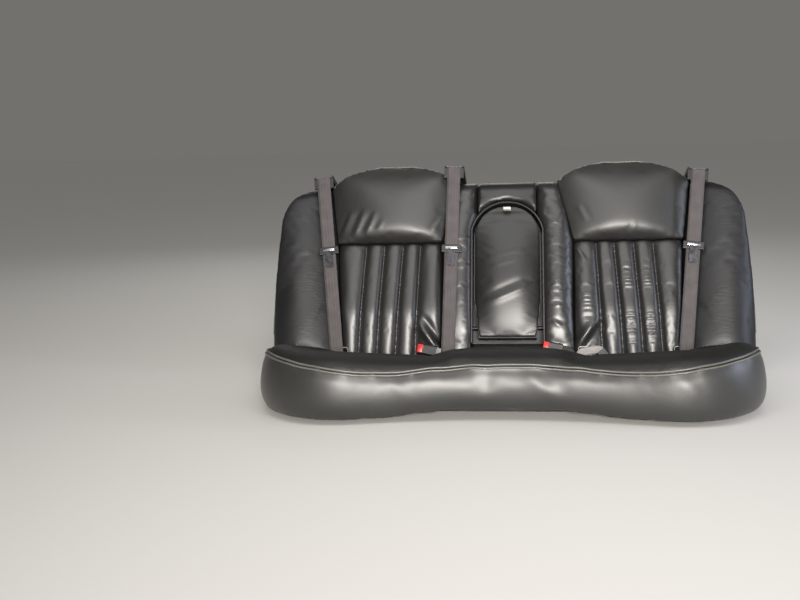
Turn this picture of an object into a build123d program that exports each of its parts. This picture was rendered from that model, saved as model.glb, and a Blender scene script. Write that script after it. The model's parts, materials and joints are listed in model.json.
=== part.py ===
from build123d import *
import math
import os

# Rear bench seat of a stretched saloon, in millimetres.
# X runs across the seat, -Y is the way a passenger faces, +Z is up.
# The origin is the centre of the four floor bolts, on the floor.
# The back is drawn in its own coordinates: x across, u up the slope from the bight,
# w out of the closing board towards the passenger.

os.makedirs("parts", exist_ok=True)

# Whole seat
BACK_LEAN = 22.0  # degrees from the vertical
BIGHT_Y = 150.0  # a point of the back's front plane, low in the bight
BIGHT_Z = 81.0
FACE_W = 90.0  # board to the back's front plane
PAD_FLOOR_Z = 28.0  # lowest edge of the back's pads
SEAM = 0.6  # gap between neighbouring pads

# Cushion plan
CUSHION_HALF = 660.0
CORNER_R = 215.0  # front corners
BOW_Y = -400.0  # where each outer place reaches furthest forward
RECESS_Y = -350.0  # front edge on the centre line
SKIRT_T = 22.0
SKIRT_BOTTOM_Z = 8.0
SKIRT_ARCH = 22.0  # rise of the skirt's lower edge at the centre
SKIRT_ARCH_X = 310.0
NOSE_DEPTH = 148.0
NOSE_R = 44.0
PAD_BOTTOM_Z = 26.0
CUSHION_REAR_W = 118.0  # rear face of the cushion, measured from the board
CUSHION_SLOPE = 12.6  # degrees, rising towards the front
CREST_Y = -290.0  # where the heights below are measured
CREST_Z = 165.0
# Height of the top along the crest: centre, end of its flat, foot of its step, side (x, z)
TOP_CENTRE = (120.0, 176.0)
TOP_FOOT = (206.0, 158.0)
TOP_PLACE = (300.0, 160.0)
TOP_OUTER = (480.0, 171.0)
TOP_SIDE = (CUSHION_HALF + 25, 193.0)
# Height of the skirt's upper edge at its own crest line: centre, foot of the swell, lowest, bow, outer, side
WELT_Y = -375.0
WELT = ((0.0, 152.6), (230.0, 140.3), (300.0, 136.8), (400.0, 143.5), (520.0, 156.0), (CUSHION_HALF + 25, 211.0))

# Seams of the back and of the cushion's outer places
INNER_SEAM = ((200.0, 0.0), (202.0, 341.0), (153.0, 540.0))  # x, u
OUTER_SEAM = ((512.0, 0.0), (535.0, 341.0), (563.0, 532.0))  # x, u
HEAD_U = 341.0  # seam between fluted pad and head pad
HEAD_APEX = (369.0, 601.0)
CREST_U = 540.0
CREST_HALF = 91.0
WING_HALF = 731.0
WING_SHOULDER = (667.0, 495.0)
WING_TOP = (716.0, 383.0)
WING_REST_Z = 97.0  # the wings' undersides, just above the cushion
WING_REST_Y = 128.0
# Flutes of an outer place: x of the lines between them, at the bight and at the head pad's seam
FLUTES_LOW = (200.0, 284.0, 345.0, 403.0, 460.0, 512.0)
FLUTES_HIGH = (202.0, 271.0, 325.0, 384.0, 442.0, 535.0)
# u, depth w of the lines between the flutes, w of their crests
BACK_FLUTES = ((-62.0, 66.0, 80.0), (0.0, 70.0, 87.0), (120.0, 84.0, 106.0), (341.0, 74.0, 92.0))
CUSHION_FLUTE_DEPTH = 11.0

# Armrest and its well
ARM_HALF = 102.5
ARM_FOOT_HALF = 88.0
ARM_SHOULDER_U = 371.0
ARM_TOP_U = 459.0
ARM_REAR_W = 22.0
ARM_SPLIT_W = 72.0
ARM_FRONT_W = 100.0
ARM_GAP = 5.5  # to the well's side walls
ARM_TOP_GAP = 8.0
ARM_REAR_GAP = 8.0
PIVOT_U = 71.0
PIVOT_W = 58.0
PIVOT_R = 6.0
RUNNING_FIT = 0.05
PAD_JOIN = 0.3
WELL_HALF = ARM_HALF + ARM_GAP
WELL_WALL = 4.0
WELL_SHOULDER_U = ARM_SHOULDER_U + ARM_TOP_GAP + 1
WELL_TOP_U = ARM_TOP_U + ARM_TOP_GAP
WELL_BOTTOM_U = PIVOT_U - (PIVOT_W - ARM_REAR_W) - 9
WELL_BACK_W = ARM_REAR_W - ARM_REAR_GAP
WELL_FRONT_W = ARM_FRONT_W - 14
WELL_LIP_W = PIVOT_W + 2  # its floor ends here, to let the folding armrest's front pass
SILL_TOP_U = WELL_BOTTOM_U - WELL_WALL - 0.5
SILL_FRONT_W = 89.0

# Board and frames
BOARD_T = 5.0
BOARD_INSET = 9.0
TUBE = 20.0
TUBE_WALL = 2.0
BACK_TUBE = 25.0
FOOT_T = 4.0
PAN_T = 2.0
PAN_REAR_Y = 134.0
SIDE_X = 500.0
INNER_X = 200.0
FRONT_TUBE_Y = -262.0
BIGHT_TUBE_Y = 112.0
REAR_TUBE_Y = 243.0
SIDE_TUBE_END_Y = 335.0
STRUT_Y = 318.0
BOLT_X = 535.0
BOLT_Y = 215.0
BOLT_HOLE_R = 5.5
FOOT_SIZE = (76.0, 50.0)
CROSS_TUBE_U = 492.0
CROSS_HALF = 620.0
BACK_UPRIGHT_X = (150.0, 500.0)

# Belts
WEBBING = 47.0
WEBBING_T = 1.4
BELT_W0 = 112.0  # at the bight
BELT_W1 = 128.0  # at the guide
BELT_FOOT_Z = 30.0
BELT_REAR_W = -42.0
BELT_BEND_R = 9.0
# name, x at the bight, x at the top, length of the front run above the bight
BELTS = (("left", -524.0, -582.0, 556.0), ("middle", -180.0, -164.0, 579.0), ("right", 524.0, 582.0, 556.0))
RETRACTOR_TOP_DROP = 96.0
TONGUE_S = 311.0
TONGUE_SIZE = (62.0, 24.0, 8.6)
TONGUE_SLOT = (49.0, 2.6)
BLADE = (24.0, 42.0, 2.4)
STOP_R = 6.0
STOP_T = 2.5
# x and u of the strap's elbow, its lean from upright in degrees, its length from there to its second bend,
# and the buckle's own lean
BUCKLES = ((-190.0, -15.0, 79.0, 21.0, 79.0), (189.0, -9.0, 79.0, 21.0, 79.0), (214.0, -13.0, -81.0, 58.0, -140.0))
STRAP_TAIL = 6.0  # from the second bend to the buckle
BUCKLE_W = 108.0
BUCKLE_SIZE = (32.0, 56.0, 16.0)
BUCKLE_SLOT = (25.0, 20.0, 3.0)
STRAP_SIZE = (24.0, 2.0)
CHILD_ANCHOR_X = (227.0, 507.0)
CHILD_W = 94.0
CHILD_TOP_U = 6.0
CHILD_WIRE_R = 3.0
CHILD_HALF = 16.0

LEAN = math.radians(BACK_LEAN)
FAR = 2000.0


def back_yz(u, w):
    """Y and Z of a point of the back."""
    y = BIGHT_Y + u * math.sin(LEAN) - (w - FACE_W) * math.cos(LEAN)
    z = BIGHT_Z + u * math.cos(LEAN) + (w - FACE_W) * math.sin(LEAN)
    return y, z


def back_uw(y, z):
    """u and w of a point in the middle plane."""
    dy, dz = y - BIGHT_Y, z - BIGHT_Z
    return dy * math.sin(LEAN) + dz * math.cos(LEAN), FACE_W - dy * math.cos(LEAN) + dz * math.sin(LEAN)


def u_at(w, z):
    """u where the height z is reached at depth w."""
    return (z - BIGHT_Z - (w - FACE_W) * math.sin(LEAN)) / math.cos(LEAN)


BACK = Location(Plane(origin=(0, *back_yz(0, 0)), x_dir=(1, 0, 0), z_dir=(0, -math.cos(LEAN), math.sin(LEAN))))


def face(start, *steps):
    """Face inside a closed line. A step is a point, or a via point and an end point for an arc."""
    edges, here = [], start
    for step in steps:
        if isinstance(step[0], tuple):
            edges.append(ThreePointArc(here, step[0], step[1]))
            here = step[1]
        elif math.dist(here, step) > 1e-6:
            edges.append(Line(here, step))
            here = step
    if math.dist(here, start) > 1e-6:
        edges.append(Line(here, start))
    return make_face(edges)


def along_w(flat, w0, w1):
    """Solid between two depths from an x, u face."""
    return Pos(0, 0, w0) * extrude(flat, amount=w1 - w0)


def along_x(flat, half=FAR):
    """Solid both ways across from a u, w face."""
    return extrude(Plane.YZ * flat, amount=half, both=True)


def along_u(flat, half=FAR):
    """Solid both ways up and down from an x, w face."""
    return extrude(Plane.XZ * flat, amount=half, both=True)


def box(x, y, z):
    """Block between pairs of limits."""
    size = [b - a for a, b in (x, y, z)]
    return Pos(x[0], y[0], z[0]) * Box(*size, align=(Align.MIN, Align.MIN, Align.MIN))


def mirrored(shape):
    return mirror(shape, about=Plane.YZ)


def above(shape, z):
    """What of a shape lies above a height."""
    return shape - box((-FAR, FAR), (-FAR, FAR), (-FAR, z))


def seam_x(seam, u):
    """x of a seam at a height up the back, straight on below its lowest point."""
    (x0, u0), (x1, u1), (x2, u2) = seam
    if u < u1:
        return x0 + (x1 - x0) * (u - u0) / (u1 - u0)
    return x1 + (x2 - x1) * (u - u1) / (u2 - u1)


def save(name, shape):
    export_step(Compound(children=list(shape.solids())), f"parts/{name}.step")


# Cushion

def cushion_plan():
    """Front edge with a bow at each outer place and a shallow recess between them, all tangent arcs."""
    bow_x, corner_y = CUSHION_HALF - CORNER_R, BOW_Y + CORNER_R
    rise = corner_y - RECESS_Y
    recess_r = (rise**2 + bow_x**2 - CORNER_R**2) / (2 * (CORNER_R - rise))
    centre_y = RECESS_Y - recess_r
    share = CORNER_R / (CORNER_R + recess_r)
    tangent = (bow_x * (1 - share), corner_y + (centre_y - corner_y) * share)
    turn = math.radians(40)
    via = (bow_x + CORNER_R * math.sin(turn), corner_y - CORNER_R * math.cos(turn))
    side = (CUSHION_HALF, corner_y)
    return face(
        (side[0], FAR / 4),
        side,
        (via, tangent),
        ((0, RECESS_Y), (-tangent[0], tangent[1])),
        ((-via[0], via[1]), (-side[0], side[1])),
        (-side[0], FAR / 4),
    )


PLAN = cushion_plan()
CORNER_Y = BOW_Y + CORNER_R
REAR_TOP_Y = BIGHT_Y - (CUSHION_REAR_W - FACE_W) / math.cos(LEAN)


def plan_prism(inset, z0=0.0, z1=FAR / 4):
    flat = offset(PLAN, amount=-inset, kind=Kind.INTERSECTION) if inset else PLAN
    return Pos(0, 0, z0) * extrude(flat, amount=z1 - z0)


def behind_cushion():
    """Everything behind the cushion's sloping rear face."""
    return BACK * box((-FAR, FAR), (-FAR, FAR), (-FAR, CUSHION_REAR_W))


def top_line():
    """Half of the top's height line along the crest, as points and arc points."""
    (xc, zc), (xf, zf) = TOP_CENTRE, TOP_FOOT
    middle = ((xc + xf) / 2, (zc + zf) / 2)
    drop = (zc - zf) / 2
    upper = ((xc + middle[0]) / 2, zc - drop / 4)
    lower = ((xf + middle[0]) / 2, zf + drop / 4)
    return [(upper, middle), (lower, TOP_FOOT), TOP_PLACE, TOP_OUTER, TOP_SIDE]


def mirrored_line(start, steps):
    """The same steps from the last one back to the start, on the other side."""
    ends = [start] + [step[1] if isinstance(step[0], tuple) else step for step in steps]
    back = []
    for step, end in zip(reversed(steps), reversed(ends[:-1])):
        flipped = (-end[0], end[1])
        back.append(((-step[0][0], step[0][1]), flipped) if isinstance(step[0], tuple) else flipped)
    return back


def sloped(flat, y=CREST_Y):
    """Solid made of a cross-section carried forwards and backwards along the cushion's slope."""
    prism = extrude(Plane.XZ * flat, amount=FAR, both=True)
    return Pos(0, y, CREST_Z) * Rot(-CUSHION_SLOPE, 0, 0) * Pos(0, 0, -CREST_Z) * prism


def under_line(start, steps):
    """Face under a symmetric height line."""
    far = steps[-1][1] if isinstance(steps[-1][0], tuple) else steps[-1]
    wide = CUSHION_HALF + 60
    return face(
        start, *steps, (wide, far[1]), (wide, -FAR), (-wide, -FAR), (-wide, far[1]), (-far[0], far[1]),
        *mirrored_line(start, steps), start,
    )


def under_top():
    return sloped(under_line(TOP_CENTRE, top_line()))


def cushion_nose():
    """Plain roll along the front and round both corners."""
    body = plan_prism(SKIRT_T + SEAM, PAD_BOTTOM_Z) & under_top()
    body = body & box((-FAR, FAR), (-FAR, CORNER_Y - SEAM), (0, FAR))
    rim = [edge for edge in body.edges() if on_front_rim(edge)]
    body = fillet(rim, NOSE_R)
    return body - plan_prism(NOSE_DEPTH - SEAM, 0)


def on_front_rim(edge):
    """Whether an edge of the nose lies between its top and its outer wall."""
    wall = SKIRT_T + SEAM
    for at in (0.1, 0.5, 0.9):
        p = edge @ at
        if p.Z < PAD_BOTTOM_Z + 10 or abs(distance_inside(p.X, p.Y) - wall) > 0.5:
            return False
    return abs((edge @ 0).Z - (edge @ 1).Z) < 60


def distance_inside(x, y):
    """How far a point lies inside the plan's front edge and corners."""
    bow_x = CUSHION_HALF - CORNER_R
    rise = CORNER_Y - RECESS_Y
    recess_r = (rise**2 + bow_x**2 - CORNER_R**2) / (2 * (CORNER_R - rise))
    if y > CORNER_Y:
        return CUSHION_HALF - abs(x)
    if abs(x) > bow_x * (1 - CORNER_R / (CORNER_R + recess_r)):
        return CORNER_R - math.dist((abs(x), y), (bow_x, CORNER_Y))
    return math.dist((x, y), (0, RECESS_Y - recess_r)) - recess_r


def cushion_side():
    """Straight outer strip beside the fluted place."""
    strip = box((CUSHION_HALF - NOSE_DEPTH + SEAM, CUSHION_HALF - SKIRT_T - SEAM), (CORNER_Y, FAR), (PAD_BOTTOM_Z, FAR))
    return (strip & under_top()) - behind_cushion()


def cushion_field():
    """What is framed by the nose and the side strips."""
    return plan_prism(NOSE_DEPTH, PAD_BOTTOM_Z) - behind_cushion()


def cushion_middle():
    half = INNER_SEAM[0][0] - SEAM
    return cushion_field() & under_top() & box((-half, half), (-FAR, FAR), (0, FAR))


def cushion_flutes():
    """Five rounded flutes from the nose to the bight."""
    xs = list(FLUTES_LOW)
    xs[-1] = CUSHION_HALF - NOSE_DEPTH - SEAM
    (x0, z0), (x1, z1) = TOP_PLACE, TOP_OUTER

    def at(x, h):
        return x, z0 + (x - x0) * (z1 - z0) / (x1 - x0) + h

    section = scallops(xs, -100.0, -CUSHION_FLUTE_DEPTH, 0.0, at)
    return cushion_field() & sloped(section)


def scallops(xs, floor, valley, crest, at):
    """Cross-section of rounded flutes. at turns x and height into a point."""
    edges = [Line(at(xs[0], floor), at(xs[0], valley))]
    for a, b in zip(xs, xs[1:]):
        edges.append(ThreePointArc(at(a, valley), at((a + b) / 2, crest), at(b, valley)))
    edges.append(Line(at(xs[-1], valley), at(xs[-1], floor)))
    edges.append(Line(at(xs[-1], floor), at(xs[0], floor)))
    return make_face(edges)


def cushion_skirt():
    """Boxing band round the front and sides. Its lower edge arches over the tunnel."""
    centre, foot, low, bow, outer, side = WELT
    line = [((foot[0] / 2, centre[1] - (centre[1] - foot[1]) / 4), foot), (low, bow), (outer, side)]
    band = plan_prism(0, SKIRT_BOTTOM_Z) & sloped(under_line(centre, line), WELT_Y)
    band = band - plan_prism(SKIRT_T, 0)
    band = band - box((-FAR, FAR), (REAR_TOP_Y - 12, FAR), (0, FAR))
    z, reach = SKIRT_BOTTOM_Z, SKIRT_ARCH_X
    arch = face((-reach, -1), (-reach, z), ((0, z + SKIRT_ARCH), (reach, z)), (reach, -1))
    return band - extrude(Plane.XZ * arch, amount=FAR)


# Back pads

def head_pad():
    (xa, _), (xb, ub) = INNER_SEAM[1], INNER_SEAM[2]
    (xc, _), (xd, ud) = OUTER_SEAM[1], OUTER_SEAM[2]
    u0 = HEAD_U + SEAM
    outline = face((xa + SEAM, u0), (xc - SEAM, u0), (xd - SEAM, ud), (HEAD_APEX, (xb + SEAM, ub)))
    apex = HEAD_APEX[1]
    profile = face(
        (u0, 0),
        (u0, 80),
        ((u0 + 10, 112), (u0 + 42, 126)),
        ((u0 + 140, 124), (apex - 32, 98)),
        ((apex - 7, 84), (apex, 56)),
        (apex, 0),
    )
    cross = face((xb, 0), (xb, 76), ((HEAD_APEX[0] - 6, 128), (xd, 76)), (xd, 0))
    return along_w(outline, 0, 200) & along_x(profile) & along_u(cross)


def flute_lines(u):
    """x of the lines between the back's flutes at a height."""
    share = u / HEAD_U
    xs = [low + (high - low) * share for low, high in zip(FLUTES_LOW, FLUTES_HIGH)]
    return [xs[0] + SEAM] + xs[1:-1] + [xs[-1] - SEAM]


def flute_pad():
    """Five vertical flutes that swell at the lumbar."""
    sections = []
    for u, valley, crest in BACK_FLUTES:
        sections.append(scallops(flute_lines(u), 0.0, valley, crest, lambda x, w, u=u: (x, u, w)))
    return loft(sections, ruled=True)


def wing():
    """Outer bolster. Its inner edge follows the seam, so its crown is turned with it."""
    u0 = -62.0
    foot = (seam_x(OUTER_SEAM, u0) + SEAM, u0)
    outline = face(
        foot,
        (OUTER_SEAM[1][0] + SEAM, OUTER_SEAM[1][1]),
        (OUTER_SEAM[2][0] + SEAM, OUTER_SEAM[2][1]),
        (WING_SHOULDER, WING_TOP),
        ((WING_HALF - 3, 230), (WING_HALF, 0)),
        (WING_HALF, u0),
    )
    rest = [back_uw(WING_REST_Y, PAD_FLOOR_Z), back_uw(WING_REST_Y, WING_REST_Z)]
    top = OUTER_SEAM[2][1] + 8
    profile = face(
        (u_at(0, PAD_FLOOR_Z), 0),
        rest[0],
        rest[1],
        (u_at(132, WING_REST_Z), 132),
        (340, 130),
        ((486, 122), (top, 58)),
        (top, 0),
    )
    turn = math.degrees(math.atan2(OUTER_SEAM[2][0] - foot[0], OUTER_SEAM[2][1] - foot[1]))
    cross = face((-20, 0), (-20, 70), ((48, 104), (120, 122)), ((180, 112), (222, 68)), (250, 36), (250, 0))
    cross = Pos(foot[0], foot[1], 0) * Rot(0, 0, -turn) * along_u(cross)
    return along_w(outline, 0, 200) & along_x(profile) & cross


def well_outline(grow, foot_u):
    half = WELL_HALF + grow
    return face(
        (-half, foot_u), (half, foot_u), (half, WELL_SHOULDER_U),
        ((0, WELL_TOP_U + grow), (-half, WELL_SHOULDER_U)),
    )


def inner_bolster():
    """Rounded strip between the armrest and an outer place."""
    u0 = -62.0
    x0 = CREST_HALF + SEAM
    outline = face(
        (x0, u0), (seam_x(INNER_SEAM, u0) - SEAM, u0), (INNER_SEAM[1][0] - SEAM, HEAD_U),
        (INNER_SEAM[2][0] - SEAM, CREST_U), (x0, CREST_U),
    )
    top = CREST_U
    profile = face(
        (u0, 0),
        (u0, 80),
        ((0, 89), (56, 103)),
        ((250, 113), (top - 60, 100)),
        ((top - 14, 90), (top, 58)),
        (top, 0),
    )
    cross = face((x0 - 6, 0), (x0 - 6, 72), ((152, 112), (208, 78)), (208, 0))
    solid = along_w(outline, 0, 200) & along_x(profile) & along_u(cross)
    return solid - along_w(well_outline(WELL_WALL + SEAM, -FAR), -1, 300)


def crest_pad():
    """Plain panel over the armrest with a rolled, arched lower edge."""
    outline = face((-CREST_HALF, WELL_SHOULDER_U - 20), (CREST_HALF, WELL_SHOULDER_U - 20), (CREST_HALF, CREST_U), (-CREST_HALF, CREST_U))
    low, top = WELL_SHOULDER_U - 20, CREST_U
    profile = face((low, 0), (low, 88), ((low + 50, 106), (top - 50, 100)), ((top - 12, 88), (top, 58)), (top, 0))
    return (along_w(outline, 0, 200) & along_x(profile)) - along_w(well_outline(WELL_WALL + SEAM, -FAR), -1, 300)


def sill_pad():
    """Low roll under the armrest."""
    half = WELL_HALF + WELL_WALL
    outline = face((-half, -62), (half, -62), (half, SILL_TOP_U), (-half, SILL_TOP_U))
    front, top = SILL_FRONT_W, SILL_TOP_U
    profile = face((-62, 0), (-62, front - 8), ((-12, front), (13, front - 11)), ((top - 1, front - 24), (top, front - 40)), (top, 0))
    return along_w(outline, 0, 200) & along_x(profile)


def armrest_well():
    """Moulded liner, open to the front and at its foot, with a bore in each wall for the armrest's pin."""
    shell = along_w(well_outline(WELL_WALL, WELL_BOTTOM_U - WELL_WALL), 0, WELL_FRONT_W)
    inner = along_w(well_outline(0, WELL_BOTTOM_U), WELL_BACK_W, WELL_FRONT_W + 10)
    rear = along_w(well_outline(0, WELL_BOTTOM_U), -1, WELL_BACK_W - WELL_WALL)
    bore = Pos(0, PIVOT_U, PIVOT_W) * Rot(0, 90, 0) * Cylinder(PIVOT_R + RUNNING_FIT, 3 * WELL_HALF)
    foot = (WELL_BOTTOM_U - WELL_WALL - 1, WELL_BOTTOM_U + 1)
    lip = box((-WELL_HALF, WELL_HALF), foot, (WELL_LIP_W, WELL_FRONT_W + 10))
    return shell - inner - rear - bore - lip


# Armrest

def arm_outline():
    return face(
        (-ARM_FOOT_HALF, 0),
        (ARM_FOOT_HALF, 0),
        (ARM_FOOT_HALF, 48),
        (ARM_HALF, 160),
        (ARM_HALF, ARM_SHOULDER_U),
        ((0, ARM_TOP_U), (-ARM_HALF, ARM_SHOULDER_U)),
        (-ARM_HALF, 160),
        (-ARM_FOOT_HALF, 48),
    )


def armrest_core():
    """Stiff rear half of the armrest. Its foot is round about the pin."""
    r = PIVOT_W - ARM_REAR_W
    foot_u = PIVOT_U - math.sqrt(r**2 - (ARM_SPLIT_W - PIVOT_W) ** 2)
    profile = face(
        (PIVOT_U, ARM_REAR_W), ((PIVOT_U - r, PIVOT_W), (foot_u, ARM_SPLIT_W)),
        (ARM_TOP_U, ARM_SPLIT_W), (ARM_TOP_U, ARM_REAR_W),
    )
    bore = Pos(0, PIVOT_U, PIVOT_W) * Rot(0, 90, 0) * Cylinder(PIVOT_R, 3 * WELL_HALF)
    return (along_w(arm_outline(), 0, 200) & along_x(profile)) - bore


def armrest_pad():
    """Padded front of the armrest."""
    r = PIVOT_W - ARM_REAR_W
    split = ARM_SPLIT_W + PAD_JOIN
    foot_u = PIVOT_U - math.sqrt(r**2 - (split - PIVOT_W) ** 2)
    profile = face(
        (foot_u, split), ((PIVOT_U - 22, 88), (PIVOT_U + 6, ARM_FRONT_W - 4)),
        ((260, ARM_FRONT_W), (ARM_TOP_U - 22, 93)), ((ARM_TOP_U - 6, 87), (ARM_TOP_U, split)),
    )
    cross = face((-ARM_HALF, 0), (-ARM_HALF, 80), ((0, ARM_FRONT_W + 3), (ARM_HALF, 80)), (ARM_HALF, 0))
    return along_w(arm_outline(), 0, 200) & along_x(profile) & along_u(cross)


def armrest_pin():
    return Pos(0, PIVOT_U, PIVOT_W) * Rot(0, 90, 0) * Cylinder(PIVOT_R, 2 * (WELL_HALF + WELL_WALL) - 1)


def armrest_pull():
    """Small tab at the top of the pad."""
    return box((-13, 13), (ARM_TOP_U - 22, ARM_TOP_U - 8), (84, 96)) - armrest_pad()


# Board and frames

def back_board():
    i = BOARD_INSET
    (xb, ub), (xd, ud) = INNER_SEAM[2], OUTER_SEAM[2]
    half = WING_HALF - i
    right = [
        (half, 0),
        ((half - 3, 230), (WING_TOP[0] - i, WING_TOP[1])),
        ((WING_SHOULDER[0] - i, WING_SHOULDER[1] - i), (xd, ud - i)),
        ((HEAD_APEX[0], HEAD_APEX[1] - i), (xb, ub - i)),
    ]
    return along_w(face((half, -62), *right, (-xb, ub - i), *mirrored_line((half, -62), right)), -BOARD_T, 0)


def square_tube(x, y, z):
    """Square tube between limits, hollow along its longest side."""
    spans = (x, y, z)
    lengths = [b - a for a, b in spans]
    longest = lengths.index(max(lengths))
    bore = [(a + TUBE_WALL, b - TUBE_WALL) for a, b in spans]
    bore[longest] = (spans[longest][0] - 1, spans[longest][1] + 1)
    return box(*spans) - box(*bore)


def base_frame():
    """Ladder of square tubes under the pan, with a strut behind each outer post of the back."""
    z = (FOOT_T, FOOT_T + TUBE)
    h = TUBE / 2
    tubes = []
    for x in (-SIDE_X, SIDE_X):
        tubes.append(square_tube((x - h, x + h), (FRONT_TUBE_Y - h, SIDE_TUBE_END_Y), z))
        strut = square_tube((x - h, x + h), (STRUT_Y - h, STRUT_Y + h), (z[1], BIGHT_Z + 200))
        tubes.append(strut - BACK * box((-FAR, FAR), (-FAR, FAR), (-BOARD_T - BACK_TUBE, FAR)))
    for x in (-INNER_X, INNER_X):
        tubes.append(square_tube((x - h, x + h), (FRONT_TUBE_Y + h, BIGHT_TUBE_Y - h), z))
        tubes.append(square_tube((x - h, x + h), (BIGHT_TUBE_Y + h, REAR_TUBE_Y - h), z))
    for y in (FRONT_TUBE_Y, BIGHT_TUBE_Y, REAR_TUBE_Y):
        tubes.append(square_tube((h - SIDE_X, SIDE_X - h), (y - h, y + h), z))
    return joined(tubes)


def foot_plates():
    plates = None
    for sx in (-1, 1):
        for sy in (-1, 1):
            y = sy * BOLT_Y
            x0 = SIDE_X - TUBE / 2 - 4
            plate = box((x0, x0 + FOOT_SIZE[0]), (y - FOOT_SIZE[1] / 2, y + FOOT_SIZE[1] / 2), (0, FOOT_T))
            plate = plate - Pos(BOLT_X, y, 0) * Cylinder(BOLT_HOLE_R, 4 * FOOT_T)
            plate = plate if sx > 0 else mirrored(plate)
            plates = plate if plates is None else plates + plate
    return plates


def seat_pan():
    top = PAD_BOTTOM_Z
    pan = plan_prism(SKIRT_T + 8, top - PAN_T, top)
    return pan - box((-FAR, FAR), (PAN_REAR_Y, FAR), (0, FAR))


def back_frame():
    """Four posts behind the board and the tube across their tops."""
    w = (-BOARD_T - BACK_TUBE, -BOARD_T)
    h = BACK_TUBE / 2
    tubes = [square_tube((-CROSS_HALF, CROSS_HALF), (CROSS_TUBE_U - h, CROSS_TUBE_U + h), w)]
    for x in BACK_UPRIGHT_X:
        for sx in (-1, 1):
            tubes.append(square_tube((sx * x - h, sx * x + h), (-120, CROSS_TUBE_U - h), w))
    return joined(tubes)


# Belts

def belt_frame(x0, x1, top_s):
    """Place of a belt's own plane on the back. Its y runs along the belt."""
    tilt = math.degrees(math.atan2(x1 - x0, top_s))
    return Pos(x0, 0, 0) * Rot(0, 0, -tilt)


def belt_start():
    return u_at(BELT_W0, BELT_FOOT_Z)


def run_angle(top_s):
    return math.degrees(math.atan2(BELT_W1 - BELT_W0, top_s - belt_start()))


def run_frame(x0, x1, top_s):
    """Frame of the straight front run: y along the webbing, z out of it, origin at its foot."""
    return belt_frame(x0, x1, top_s) * Pos(0, belt_start(), BELT_W0) * Rot(run_angle(top_s), 0, 0)


def belt(x0, x1, top_s):
    points = [
        (0, belt_start(), BELT_W0),
        (0, top_s, BELT_W1),
        (0, top_s, BELT_REAR_W),
        (0, top_s - RETRACTOR_TOP_DROP, BELT_REAR_W - 6),
    ]
    path = FilletPolyline(*points, radius=BELT_BEND_R)
    section = Plane(origin=points[0], x_dir=(1, 0, 0), z_dir=path % 0) * Rectangle(WEBBING, WEBBING_T)
    return belt_frame(x0, x1, top_s) * sweep(section, path=path)


def tongue(x0, x1, top_s):
    """Sleeve round the webbing with a blade that hangs in front of it."""
    sx, sy, sz = TONGUE_SIZE
    sleeve = Box(sx, sy, sz) - Box(TONGUE_SLOT[0], 2 * sy, TONGUE_SLOT[1])
    sleeve = fillet(sleeve.edges().filter_by(Axis.Z).group_by(Axis.X)[0] + sleeve.edges().filter_by(Axis.Z).group_by(Axis.X)[-1], 4)
    front = sz / 2
    blade = box((-BLADE[0] / 2, BLADE[0] / 2), (-sy / 2 - BLADE[1], -sy / 2 + 8), (front - 0.4, front - 0.4 + BLADE[2]))
    window = box((-6, 6), (-sy / 2 - BLADE[1] + 10, -sy / 2 - BLADE[1] + 22), (0, sz))
    along = TONGUE_S - belt_start()
    return run_frame(x0, x1, top_s) * Pos(0, along, 0) * (sleeve + (blade - window))


def belt_stop(x0, x1, top_s):
    """Button sewn through the webbing, under the tongue."""
    along = TONGUE_S - belt_start() - TONGUE_SIZE[1] / 2 - STOP_R - 0.3
    half = WEBBING_T / 2 + 0.05
    button = Pos(0, along, half + STOP_T / 2) * Cylinder(STOP_R, STOP_T)
    return run_frame(x0, x1, top_s) * button


def belt_guide(x0, x1, top_s):
    """Saddle over the back's top edge that carries the belt, with a cheek each side."""
    under = top_s - WEBBING_T / 2 - 0.4
    half = WEBBING / 2 + 7
    front, rear = BELT_W1 - WEBBING_T - 1.4, BELT_REAR_W + WEBBING_T + 0.6
    saddle = box((-half, half), (under - 12, under), (rear, front))
    saddle = saddle + box((-half, half), (under - 38, under), (front - 7, front))
    saddle = saddle + box((-half, half), (CROSS_TUBE_U - 4, under), (rear, -BOARD_T - BACK_TUBE))
    saddle = fillet(saddle.edges().filter_by(Axis.X).group_by(Axis.Y)[-1], BELT_BEND_R - 1.5)
    cheek = box((WEBBING / 2 + 2, half), (under - 8, under + 5), (rear + 8, front - 6))
    return belt_frame(x0, x1, top_s) * (saddle + cheek + mirrored(cheek))


def retractor(x0, x1, top_s):
    """Spool housing and its plate behind the cross tube."""
    drop = top_s - RETRACTOR_TOP_DROP
    w = -BOARD_T - BACK_TUBE
    plate = box((-32, 32), (drop - 66, CROSS_TUBE_U - 5), (w - 3, w))
    spool = Pos(0, drop - 32, w - 3 - 20) * Rot(0, 90, 0) * Cylinder(20, 54)
    body = box((-27, 27), (drop - 52, drop - 12), (w - 23, w - 3))
    ends = box((27, 32), (drop - 56, drop - 8), (w - 44, w - 3))
    slot = box((-WEBBING / 2 - 1, WEBBING / 2 + 1), (drop - 14, drop + 40), (BELT_REAR_W - 9, BELT_REAR_W - 3))
    return belt_frame(x0, x1, top_s) * (plate + ((spool + body) - slot) + ends + mirrored(ends))


def belt_anchor(x0, x1, top_s):
    """Plate that holds the webbing's foot to the pan."""
    plate = box((-20, 20), (-100, belt_start() + 26), (BELT_W0 + 1.6, BELT_W0 + 4.6))
    return belt_frame(x0, x1, top_s) * plate


def strap_elbow(x, u, lean):
    """Place of the strap's first bend: y along the stretch that follows it."""
    return Pos(x, u, BUCKLE_W) * Rot(0, 0, lean)


def strap_bend(x, u, lean, reach, droop):
    """Place of the strap's second bend: y along the buckle."""
    return strap_elbow(x, u, lean) * Pos(0, reach, 0) * Rot(0, 0, droop - lean)


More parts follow.
